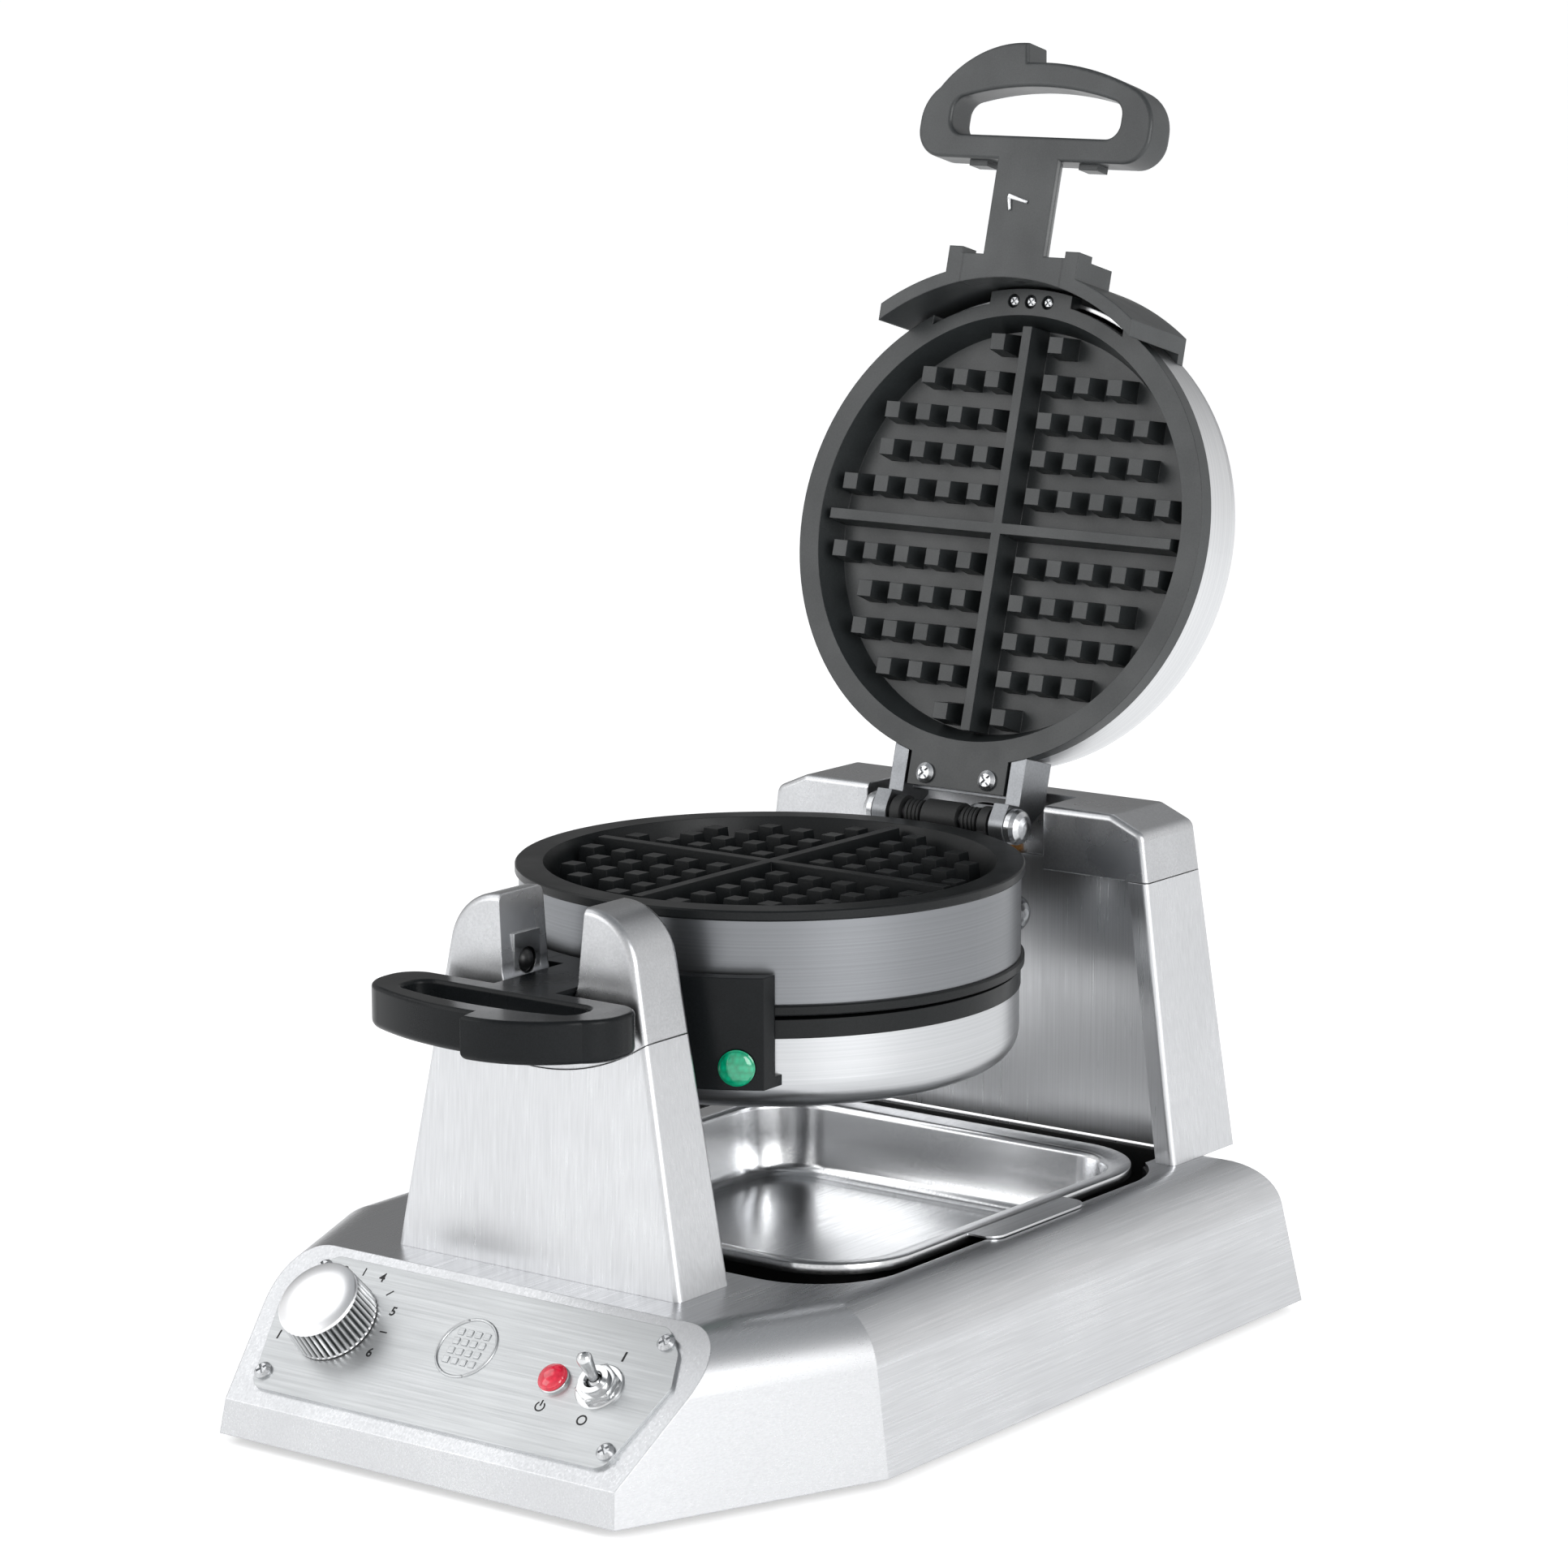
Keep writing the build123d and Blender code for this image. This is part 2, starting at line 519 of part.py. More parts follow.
pin_z = [hinge_z, 2 * zc - hinge_z]
knuckle = pin_radius + 3.0
spring_gap = 0.35                                # between the pin and a torsion spring's wire
hinge_wire = 0.85
yoke_half = arm_inner - 1.6
yoke = block(-yoke_half, yoke_half, 85, hinge_y - 3, zc - band_height / 2 + 0.5, zc + band_height / 2 - 0.5)
for z in pin_z:
    yoke += rod((-yoke_half, hinge_y, z), (1, 0, 0), knuckle, 2 * yoke_half)
yoke -= Pos(0, 0, zc) * Cylinder(band_radius, 100)
yoke -= rod((0, 60, zc), (0, 1, 0), axle_radius, 100)
yoke += block(-2.5, 2.5, hinge_y - 12, hinge_y - 1, pin_z[1] + 3, zc - axle_radius - 0.5)
yoke += block(-2.5, 2.5, hinge_y - 12, hinge_y - 1, zc + axle_radius + 0.5, pin_z[0] - 3)
for side in (-1, 1):
    for z in pin_z:
        yoke -= rod((side * 14 - 5.5, hinge_y, z), (1, 0, 0), knuckle + 2.0, 11)
    yoke -= rod((side * yoke_screw_x, 60, zc), (0, 1, 0), 2.0, 100)
for z in pin_z:
    yoke -= rod((-50, hinge_y, z), (1, 0, 0), pin_radius, 100)
keep("hinge_yoke", yoke, "black")
yoke_back = Plane(origin=(0, hinge_y - 3, zc), x_dir=(1, 0, 0), z_dir=(0, 1, 0))
keep("yoke_screws", pan_screw(yoke_back, [(-yoke_screw_x, 0), (yoke_screw_x, 0)], 3.6, 2.0, 24), "silver")

arm_outer = arm_inner + arm_width
nut_gap = 0.4
pin_half = arm_outer + nut_gap + 4
keep("hinge_pins", Compound([rod((-pin_half, hinge_y, z), (1, 0, 0), pin_radius, 2 * pin_half) for z in pin_z]),
     "silver")
dome = revolve(Plane.XZ * (make_face(Polyline((0, 0), (7.4, 0), (7.4, 2.4), (0, 2.4), close=True))
                           + make_face(Polyline((0, 2.4), (7.4, 2.4), (6.6, 4.2), (4.8, 5.7), (2.4, 6.5), (0, 6.7),
                                                close=True))), Axis.Z)
dome -= extrude(Circle(pin_radius), 4)
domes = [Pos(side * (arm_outer + nut_gap), hinge_y, z) * Rot(0, side * 90, 0) * dome for side in (-1, 1) for z in pin_z]
keep("pin_nuts", Compound(domes), "silver")
coil = [Pos(side * 14 + 1.9 * (k - 1.5), hinge_y, z) * Rot(0, 90, 0) * Torus(pin_radius + spring_gap + hinge_wire, hinge_wire)
        for side in (-1, 1) for z in pin_z for k in range(4)]
keep("hinge_springs", Compound(coil), "black")


# ---------------------------------------------------------------- lids, made shut on the drum's upper face
lf = lid_face


def behind_face(c):
    """Height of a level c below the shut upper lid's flange plane, towards the drum."""
    return lf - c


tongue_end = hinge_y - 12.0
tongue_half = 24.0
tab_half = 20.0
disc = Circle(lid_flange_side)
front_cut = (Circle(130) - Circle(lid_flange_radius)) & (Pos(0, -65) * Rectangle(94, 130))
lid_outline = disc - front_cut
lid_outline += Circle(flange_radius) & (Pos(0, -70) * Rectangle(2 * tab_half, 70))
lid_outline += Pos(0, tongue_end / 2 + 40) * Rectangle(2 * tongue_half, tongue_end - 80)
lid_outline -= Circle(grid_radius + 2.9)
lid_plate = extrude(lid_outline, -lid_flange)
lid_plate += grid
tab_screws = [(-8.4, -94.7), (0.0, -94.7), (8.4, -94.7)]
rear_screws = [(-15.4, hinge_y - 17.3), (15.4, hinge_y - 17.3)]
for x, y in tab_screws:
    lid_plate -= Pos(x, y, -lid_flange - 1) * extrude(Circle(1.4), 20)
    lid_plate -= Pos(x, y, -2.2) * extrude(Circle(2.9), 5)
for x, y in rear_screws:
    lid_plate -= Pos(x, y, -lid_flange - 1) * extrude(Circle(2.0), 20)
to_lid = Pos(0, 0, lf) * Rot(0, 180, 0)

shell = Cylinder(lid_shell_radius, lid_depth, align=(Align.CENTER, Align.CENTER, Align.MIN))
shell = fillet(shell.edges().sort_by(Axis.Z)[-1], lid_shell_round)
inner = Cylinder(lid_shell_radius - lid_wall, lid_depth - lid_wall, align=(Align.CENTER, Align.CENTER, Align.MIN))
inner = fillet(inner.edges().sort_by(Axis.Z)[-1], lid_shell_round - lid_wall)
lid_shell = Pos(0, 0, lf + lid_flange) * (shell - inner)

# half-round neck, its foot, and the loop with its one-sided hook
flat = behind_face(bracket_front)
loop_front = handle_rear + handle_depth
neck = rod((0, -bracket_inner, zc), (0, -1, 0), neck_radius, handle_rear + 4 - bracket_inner)
neck &= block(-50, 50, -200, -50, flat, flat + 40)
neck -= Pos(0, 0, zc) * Cylinder(bracket_inner, 100)
neck = chamfer(neck.edges().filter_by(Axis.Y).sort_by(Axis.Z)[:2], 1.2)
foot_half = 24.5
foot_depth = 8.5
heel = block(-foot_half, foot_half, -110.5, -80, flat, flat + foot_depth) - Pos(0, 0, zc) * Cylinder(bracket_inner, 100)
arch = loop_front - 15.0
loop_face = make_face(Curve() + [ThreePointArc((-handle_half, -arch), (0, -loop_front), (handle_half, -arch)),
                                 Polyline((handle_half, -arch), (handle_half, -handle_rear),
                                          (-handle_half, -handle_rear), (-handle_half, -arch))])
loop_face = fillet(loop_face.vertices().sort_by(Axis.Y)[:2], 18)
loop_face = fillet(loop_face.vertices().sort_by(Axis.Y)[-2:], 12)
hook_face = make_face(Curve() + [ThreePointArc((-54, -arch + 3.5), (-33, -loop_front - 2.6), (-9, -loop_front - hook_rise)),
                                 Polyline((-9, -loop_front - hook_rise), (-7, -loop_front + 3), (-40, -handle_rear - 12),
                                          (-54, -arch + 3.5))])
loop_face += hook_face
opening_half = handle_half - 15.5
hole_front = loop_front - handle_bar
hole_face = make_face(Curve() + [ThreePointArc((-opening_half, -hole_front + 6.2), (0, -hole_front),
                                               (opening_half, -hole_front + 6.2)),
                                 Polyline((opening_half, -hole_front + 6.2), (opening_half, -handle_rear - 10),
                                          (-opening_half, -handle_rear - 10), (-opening_half, -hole_front + 6.2))])
hole_face = fillet(hole_face.vertices(), 6.5)
handle_thick = bracket_front - handle_back
loop = Pos(0, 0, flat) * extrude(loop_face - hole_face, handle_thick)
loop = fillet(loop.faces().sort_by(Axis.Z)[-1].edges(), 3.0)
loop = fillet(loop.faces().sort_by(Axis.Z)[0].edges(), 1.5)
handle = loop + neck + heel
for side in (-1, 1):
    handle += block(side * 27 - 4.5, side * 27 + 4.5, -handle_rear - 2, -handle_rear + 2.4,
                    flat + handle_thick / 2 - 4, flat + handle_thick / 2 + 4)

curve = Circle(bracket_outer) - Circle(bracket_inner)
sector = Pos(0, -75) * Rectangle(2 * bracket_half, 100)
bracket = Pos(0, 0, flat) * extrude(curve & sector, bracket_front - bracket_back)
web = (Circle(bracket_outer) - Circle(lid_shell_radius)) & sector
bracket += Pos(0, 0, behind_face(bracket_back) - 4) * extrude(web, 4)
boss_half = hub_half - 1
hub = block(-boss_half, boss_half, -110.5, -80, flat, behind_face(-8)) - Pos(0, 0, zc) * Cylinder(bracket_inner, 100)
bracket += hub
for side in (-1, 1):
    inner_x, outer_x = sorted((side * (foot_half + 0.8), side * boss_half))
    bracket += block(inner_x, outer_x, -collar_top, -100, flat, flat + 10) - Pos(0, 0, zc) * Cylinder(bracket_inner, 100)
bracket = bracket - handle
lamp_dir = (-sin(radians(ready_lamp_angle)), -cos(radians(ready_lamp_angle)), 0)
lamp_at = (lamp_dir[0] * (bracket_inner + 0.2), lamp_dir[1] * (bracket_inner + 0.2), behind_face(ready_lamp_c))
lamp_stand = bracket_outer - bracket_inner + 0.4
lens = revolve(Plane.XZ * make_face(Polyline((0, 0), (ready_lamp_radius, 0), (ready_lamp_radius, lamp_stand),
                                             (ready_lamp_radius - 0.7, lamp_stand + 1.4), (4.6, lamp_stand + 2.5),
                                             (0, lamp_stand + 3.1), close=True)), Axis.Z)
ready_lamp = Plane(origin=lamp_at, z_dir=lamp_dir) * lens
bracket -= rod(lamp_at, lamp_dir, ready_lamp_radius, 12)

edges = Curve() + [CenterArc((hinge_y, hinge_z), arm_round, 0, 360),
                   Polyline((90, lf), (112, lf), (112, lf + 19), (90, lf + 19), close=True)]
arm_face = make_hull(edges.edges())
arm = Plane(origin=(arm_inner, 0, 0), x_dir=(0, 1, 0), z_dir=(1, 0, 0)) * extrude(arm_face, arm_width)
arms = arm + Pos(-arm_inner - arm_outer, 0, 0) * arm
arms += block(-arm_inner - 1, arm_inner + 1, 90, tongue_end + 1, lf + lid_flange, lf + lid_flange + 6)
arms -= Pos(0, 0, zc) * Cylinder(lid_flange_side + 0.1, 300)
arms -= block(-60, 60, 80, hinge_y - arm_round - 1, hinge_z - 20, lf)
arms -= rod((-60, hinge_y, hinge_z), (1, 0, 0), pin_radius + pin_clearance, 120)
for x, y in rear_screws:
    arms -= Pos(x, y, lf) * extrude(Circle(2.0), 30)

face_down = Plane(origin=(0, 0, lf), x_dir=(1, 0, 0), z_dir=(0, 0, -1))
screws = pan_screw(face_down, [(x, -y) for x, y in rear_screws], 4.3, 2.0, lid_flange + 6, 2.0)
tab_face = face_down.offset(-2.2)
screws = Compound(screws.solids() + pan_screw(tab_face, [(x, -y) for x, y in tab_screws], 2.6, 1.4, 4.8, 1.8).solids())
heater = Pos(0, 0, lf + grid_depth + grid_floor + heater_tube) * Torus(58, heater_tube)

lid_pieces = [("grid_plate", to_lid * lid_plate, "black"), ("lid_shell", lid_shell, "silver"),
              ("lid_handle", handle, "black"), ("lid_bracket", bracket, "black"), ("hinge_arms", arms, "silver"),
              ("lid_screws", screws, "silver"), ("ready_lamp", ready_lamp, "green"), ("lid_heater", heater, "brown")]
pin_line = Axis((0, hinge_y, hinge_z), (1, 0, 0))
low_line = Axis((0, hinge_y, 2 * zc - hinge_z), (1, 0, 0))
turn_axis = Axis((0, 0, zc), (0, 1, 0))
for name, shape, color in lid_pieces:
    keep("upper_" + name, shape.rotate(pin_line, -lid_open), color)
    keep("lower_" + name, shape.rotate(turn_axis, 180).rotate(low_line, lid_sag), color)

# ---------------------------------------------------------------- drip tray
def tray_outline(inset):
    """Rounded rectangle of the drip tray, inset evenly."""
    return Pos(0, (tray_front + tray_rear) / 2) * RectangleRounded(
        2 * (tray_half - inset), tray_rear - tray_front - 2 * inset, tray_corner - inset)


rim_z = deck + tray_proud
pan_lean = 6.0
pan = extrude(tray_outline(tray_rim), -tray_depth, taper=pan_lean)
pan -= extrude(tray_outline(tray_rim + tray_wall), -tray_depth + tray_wall, taper=pan_lean)
pan += extrude(tray_outline(0) - tray_outline(tray_rim + tray_wall), -1.0)
pan += extrude(tray_outline(0) - tray_outline(1.0), -4.0)
pan += Pos(0, sum(tray_tab) / 2, -0.5) * (Box(2 * tray_tab_out, tray_tab[1] - tray_tab[0], 1.0)
                                        - Box(2 * tray_half - 4, 200, 4))
keep("drip_tray", Pos(0, 0, rim_z) * pan, "silver")

# ---------------------------------------------------------------- inside the base
inner_deck = deck - housing_wall
floor_top = foot_height + 2.6
terminal_front = rear_recess_y + 1.5             # clear behind the tray's well
terminal = block(-gland_x - 29, -gland_x + 5, terminal_front, terminal_front + 15, floor_top, floor_top + 16)
keep("terminal_block", terminal, "white")
board_front = base_front + 66
board = block(-60, 20, board_front, board_front + 46, floor_top + 8, floor_top + 9.6)
for x in (-50, -24, 2):
    board += block(x - 8, x + 8, board_front + 10, board_front + 28, floor_top + 9.6, floor_top + 17)
for x, y in ((-56, 4), (16, 4), (-56, 42), (16, 42)):
    board += Pos(x, board_front + y, floor_top) * extrude(Circle(2.5), 8)
keep("control_board", board, "green")

gland_plane = Plane(origin=(gland_x, base_rear + 6, gland_height), z_dir=(0, 1, 0))
gland_length = 26.0
gland = gland_plane * Pos(0, 0, -gland_length) * extrude(Circle(gland_hole), gland_length)
gland += gland_plane * Pos(0, 0, -6 + 0.6) * extrude(RegularPolygon(11, 6), 5.4)
gland = gland - base_block(0) + (gland & rod((gland_x, 0, gland_height), (0, 1, 0), gland_hole, 300))
gland -= gland_plane * Pos(0, 0, -gland_length - 1) * extrude(Circle(gland_bore), 60)
keep("cord_gland", gland, "black")

# ---------------------------------------------------------------- hand over
whole = Compound(list(parts.values())).bounding_box()
shift = Vector(-(whole.min.X + whole.max.X) / 2, -(whole.min.Y + whole.max.Y) / 2, -whole.min.Z)
os.makedirs("parts", exist_ok=True)
for name, shape in parts.items():
    export_step(shape.moved(Location(shift)), f"parts/{name}.step")
print(len(parts), "parts; origin shift", shift)
print("hinge line", hinge_y + shift.Y, hinge_z, 2 * zc - hinge_z, "drum axis height", zc)
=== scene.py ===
import json
import bmesh
import bpy
import numpy as np
from mathutils import Matrix, Vector


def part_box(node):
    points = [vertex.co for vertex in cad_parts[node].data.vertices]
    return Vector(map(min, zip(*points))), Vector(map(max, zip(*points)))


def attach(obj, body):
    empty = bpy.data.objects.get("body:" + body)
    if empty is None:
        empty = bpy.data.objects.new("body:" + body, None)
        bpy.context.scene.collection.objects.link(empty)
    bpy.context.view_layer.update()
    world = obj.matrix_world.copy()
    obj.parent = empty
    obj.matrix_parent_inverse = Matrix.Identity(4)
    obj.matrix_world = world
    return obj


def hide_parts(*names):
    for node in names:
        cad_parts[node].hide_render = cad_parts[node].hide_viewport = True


# A double waffle maker in brushed stainless steel: a wedge-fronted base, two uprights, and a drum of
# non-stick cooking plates with two hinged lids. Metres, +Z up, the control panel towards -Y.

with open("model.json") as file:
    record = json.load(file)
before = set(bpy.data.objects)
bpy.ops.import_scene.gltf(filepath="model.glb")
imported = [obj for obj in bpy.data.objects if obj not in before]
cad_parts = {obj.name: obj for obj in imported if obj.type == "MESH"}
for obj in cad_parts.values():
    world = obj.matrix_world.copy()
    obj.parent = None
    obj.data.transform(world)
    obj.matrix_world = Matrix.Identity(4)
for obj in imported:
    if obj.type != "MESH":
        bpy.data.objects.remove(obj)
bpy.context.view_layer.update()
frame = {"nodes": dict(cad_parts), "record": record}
nodes = frame["nodes"]
joint = {j["name"]: j for j in frame["record"]["behaviour"]["joints"]}
MM = 0.001
TURN = 2 * np.pi


# ---------------------------------------------------------------- places read from the frame
def unit(v):
    """A vector divided by its own length."""
    return np.array(v, float) / np.linalg.norm(v)


drum_axis = np.array(joint["drum_turn"]["pos_m"])
upper_hinge = np.array(joint["upper_lid_hinge"]["pos_m"])
lower_hinge = np.array(joint["lower_lid_hinge"]["pos_m"])
lid_open = np.radians(joint["upper_lid_hinge"]["range_deg"][1])
lid_sag = np.radians(0.35)
knob_centre = np.array(joint["knob_turn"]["pos_m"])
panel_out = unit(joint["knob_turn"]["axis"])
panel_right = np.array([1.0, 0.0, 0.0])
panel_up = np.cross(panel_out, panel_right)
drum_centre_y = sum(corner[1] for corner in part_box("upper_body_plate")) / 2
switch_centre = (np.array(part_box("switch_nut")[0]) + np.array(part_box("switch_nut")[1])) / 2
lamp_centre = (np.array(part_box("lamp_bezel")[0]) + np.array(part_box("lamp_bezel")[1])) / 2
# Where the nuts stand off the panel's face, their centres are dropped back onto it.
switch_centre = switch_centre - panel_out * np.dot(switch_centre - knob_centre, panel_out)
lamp_centre = lamp_centre - panel_out * np.dot(lamp_centre - knob_centre, panel_out)
BADGE_RIGHT, BADGE_UP = 63 * MM, 1.5 * MM
badge_centre = knob_centre + panel_right * BADGE_RIGHT + panel_up * BADGE_UP


def turn_x(points, angle, pivot):
    """Points turned by an angle about the X line through a pivot: y and z mix by its cosine and sine."""
    c, s = np.cos(angle), np.sin(angle)
    away = np.asarray(points, float) - pivot
    y, z = away[..., 1], away[..., 2]
    return np.stack([away[..., 0], c * y - s * z, s * y + c * z], -1) + pivot


def on_upper_lid(points):
    """Points drawn on the upper lid when it is shut, carried to its open place."""
    return turn_x(points, -lid_open, upper_hinge)


def on_lower_lid(points):
    """Points drawn on a lid shut on the drum's top, turned half a turn about the drum's axis and sagged."""
    points = np.asarray(points, float)
    across = np.stack([-points[..., 0], points[..., 1], 2 * drum_axis[2] - points[..., 2]], -1)
    return turn_x(across, lid_sag, lower_hinge)


# ---------------------------------------------------------------- mesh helpers
def lattice(rows, columns, wrap_rows=False):
    """Quads of a grid of points, one for each cell, joined round its columns and, if asked, its rows."""
    i, j = np.meshgrid(np.arange(rows if wrap_rows else rows - 1), np.arange(columns), indexing="ij")
    i2, j2 = (i + 1) % rows, (j + 1) % columns
    corners = [i * columns + j, i * columns + j2, i2 * columns + j2, i2 * columns + j]
    return np.stack(corners, -1).reshape(-1, 4)


def piece(name, surfaces, material, body, replaces=(), sharp=35, bevel=None):
    """Object made from one or more (points, faces) surfaces, merged, closed, smoothed and set riding."""
    bm = bmesh.new()
    for points, faces in surfaces:
        part = bpy.data.meshes.new(name)
        part.from_pydata(np.asarray(points).reshape(-1, 3).tolist(), [], [list(f) for f in faces])
        bm.from_mesh(part)
        bpy.data.meshes.remove(part)
    bmesh.ops.remove_doubles(bm, verts=bm.verts, dist=1e-6)
    bmesh.ops.dissolve_degenerate(bm, edges=bm.edges, dist=1e-7)
    bmesh.ops.recalc_face_normals(bm, faces=bm.faces)
    mesh = bpy.data.meshes.new(name)
    bm.to_mesh(mesh)
    bm.free()
    mesh.polygons.foreach_set("use_smooth", np.ones(len(mesh.polygons), bool))
    mesh.set_sharp_from_angle(angle=np.radians(sharp))
    mesh.materials.append(material)
    obj = bpy.data.objects.new(name, mesh)
    bpy.context.collection.objects.link(obj)
    if bevel:
        edge = obj.modifiers.new("soft_edge", "BEVEL")
        edge.width, edge.segments, edge.limit_method = bevel, 2, "ANGLE"
    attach(obj, body)
    if replaces:
        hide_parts(*replaces)
    return obj


def basis(axis):
    """Two directions square to an axis and to each other."""
    side = np.cross((0, 0, 1), axis)
    side = unit(side if np.linalg.norm(side) > 1e-6 else np.cross((0, 1, 0), axis))
    return side, np.cross(axis, side)


def turned(profile, origin, axis, count=64, carve=None):
    """Surface of revolution: a profile of (radius, height) spun round an axis.

    Where it is given, carve(angle, row) is added to the radius.
    """
    profile = np.array(profile, float)
    angle = np.arange(count) * TURN / count
    side, other = basis(axis)
    radius = np.repeat(profile[:, :1], count, 1)
    if carve is not None:
        radius = radius + carve(angle[None, :], np.arange(len(profile))[:, None])
    ring = radius[..., None] * (np.cos(angle)[None, :, None] * side + np.sin(angle)[None, :, None] * other)
    return ring + profile[:, 1][:, None, None] * np.asarray(axis) + origin, lattice(len(profile), count)


def closing(rows):
    """Quads from a surface's last row back to its first, which close a ring's section."""
    count = rows.shape[1]
    first, last = np.arange(count), np.arange(count) + count * (len(rows) - 1)
    return np.stack([last, np.roll(last, -1), np.roll(first, -1), first], -1)


def tube(path, radius, count=12, closed=False):
    """Tube along a path: circles of one radius, square to the path's direction, joined in turn and capped."""
    path = np.asarray(path, float)
    if closed:
        along = np.roll(path, -1, 0) - np.roll(path, 1, 0)
    else:
        along = np.gradient(path, axis=0)
    along /= np.linalg.norm(along, axis=1, keepdims=True)
    hint = np.where(np.abs(along[:, :1]) > 0.9, np.array([[0, 0, 1.0]]), np.array([[1.0, 0, 0]]))
    side = np.cross(along, hint)
    side /= np.linalg.norm(side, axis=1, keepdims=True)
    other = np.cross(along, side)
    angle = np.arange(count) * TURN / count
    radii = np.full(len(path), radius)
    if not closed:
        path = np.concatenate([path[:1], path, path[-1:]])
        side = np.concatenate([side[:1], side, side[-1:]])
        other = np.concatenate([other[:1], other, other[-1:]])
        radii = np.concatenate([[0.0], radii, [0.0]])
    ring = (np.cos(angle)[None, :, None] * side[:, None] + np.sin(angle)[None, :, None] * other[:, None])
    return path[:, None] + ring * radii[:, None, None], lattice(len(path), count, wrap_rows=closed)


def slab(outline, origin, right, up, thickness):
    """Flat plate: an outline in two directions, lifted by its thickness, closed by one face at each end."""
    outline = np.asarray(outline, float)
    flat = outline[:, :1] * right + outline[:, 1:] * up + origin
    rows = np.stack([flat, flat + np.cross(right, up) * thickness])
    faces = lattice(2, len(outline)).tolist()
    count = len(outline)
    return rows, faces + [list(range(count))[::-1], list(range(count, 2 * count))]


def band(inner, outer, start, end, origin, right, up, thickness, count=48):
    """Flat ring or part of one: four corners of its section carried round an arc."""
    full = abs(end - start) > TURN - 1e-6
    angle = np.linspace(start, end, count, endpoint=not full)
    spoke = np.cos(angle)[:, None] * right + np.sin(angle)[:, None] * up
    lift = np.cross(right, up) * thickness
    rows = np.stack([spoke * inner, spoke * outer, spoke * outer + lift, spoke * inner + lift], 1) + origin
    faces = lattice(count, 4, wrap_rows=full).tolist()
    if not full:
        last = 4 * (count - 1)
        faces += [[0, 1, 2, 3][::-1], [last, last + 1, last + 2, last + 3]]
    return rows, faces


def box_outline(half_x, half_y, centre=(0.0, 0.0)):
    """Rectangle about a centre."""
    return np.array([(-half_x, -half_y), (half_x, -half_y), (half_x, half_y), (-half_x, half_y)]) + centre


FIGURE_BOLDNESS = 0.02        # how far a figure's outline is pushed out, as a share of its size


def figure(text, size, origin, right, up, thickness):
    """A figure of plain type, centred on a point and raised by its thickness."""
    curve = bpy.data.curves.new("figure", "FONT")
    curve.body, curve.size = text, size
    curve.extrude, curve.offset = thickness / 2, FIGURE_BOLDNESS * size
    curve.align_x, curve.align_y, curve.resolution_u = "CENTER", "CENTER", 4
    holder = bpy.data.objects.new("figure", curve)
    mesh = bpy.data.meshes.new_from_object(holder)
    points = np.array([v.co for v in mesh.vertices])
    faces = [tuple(p.vertices) for p in mesh.polygons]
    bpy.data.objects.remove(holder)
    bpy.data.meshes.remove(mesh)
    bpy.data.curves.remove(curve)
    middle = (points.min(0) + points.max(0)) / 2
    points = points - [middle[0], middle[1], 0]
    lift = (points[:, 2:] + thickness / 2) * np.cross(right, up)
    return points[:, :1] * right + points[:, 1:2] * up + lift + origin, faces


# ---------------------------------------------------------------- materials
def linear(code):
    """Linear colour of an sRGB hex code such as C8C9CA."""
    value = np.array([int(code[k:k + 2], 16) for k in (0, 2, 4)]) / 255
    value = np.where(value <= 0.04045, value / 12.92, ((value + 0.055) / 1.055) ** 2.4)
    return (*value.tolist(), 1.0)


def add(tree, kind, sockets=None, **settings):
    """Node of a kind, with its settings made and its sockets set to a value or linked to another's output."""
    node = tree.nodes.new(kind)
    for key, value in settings.items():
        setattr(node, key, value)
    for key, value in (sockets or {}).items():
        if isinstance(value, bpy.types.NodeSocket):
            tree.links.new(value, node.inputs[key])
        else:
            node.inputs[key].default_value = value
    return node


def new_material(name, **sockets):
    """Material with a principled shader, its own sockets set, and its node tree."""
    material = bpy.data.materials.new(name)
    material.use_nodes = True
    tree = material.node_tree
    tree.nodes.clear()
    settings = {key.replace("_", " ").title().replace("Ior", "IOR"): value for key, value in sockets.items()}
    shader = add(tree, "ShaderNodeBsdfPrincipled", settings)
    add(tree, "ShaderNodeOutputMaterial", {"Surface": shader.outputs["BSDF"]})
    return material, tree, shader


def ramp(tree, fac, low, high, start=0.3, end=0.7):
    """Colour that runs from one to another as a value goes from start to end."""
    node = add(tree, "ShaderNodeValToRGB", {"Fac": fac})
    for stop, place, colour in zip(node.color_ramp.elements, (start, end), (low, high)):
        stop.position, stop.color = place, colour
    return node.outputs["Color"]


def span(tree, value, low, high, start=0.3, end=0.7):
    """Number that runs from low to high as a value goes from start to end."""
    return add(tree, "ShaderNodeMapRange", {"Value": value, "From Min": start, "From Max": end,
                                            "To Min": low, "To Max": high}).outputs["Result"]


def relief(tree, shader, height, depth, strength, under=None):
    """Bump of a depth in metres, over rounded edges where they are given."""
    sockets = {"Height": height, "Distance": depth, "Strength": strength}
    if under is not None:
        sockets["Normal"] = under
    tree.links.new(add(tree, "ShaderNodeBump", sockets).outputs["Normal"], shader.inputs["Normal"])


STROKE_SPACING = 0.7 * MM     # real grit lines are 0.1 mm apart, drawn coarser so that they show
STROKE_LENGTH = 45 * MM


def grain(tree, coordinates, scale, detail=3.0, rough=0.55):
    """Noise on coordinates already divided by the size of its grain."""
    return add(tree, "ShaderNodeTexNoise", {"Vector": coordinates, "Scale": scale, "Detail": detail,
                                            "Roughness": rough}).outputs["Fac"]


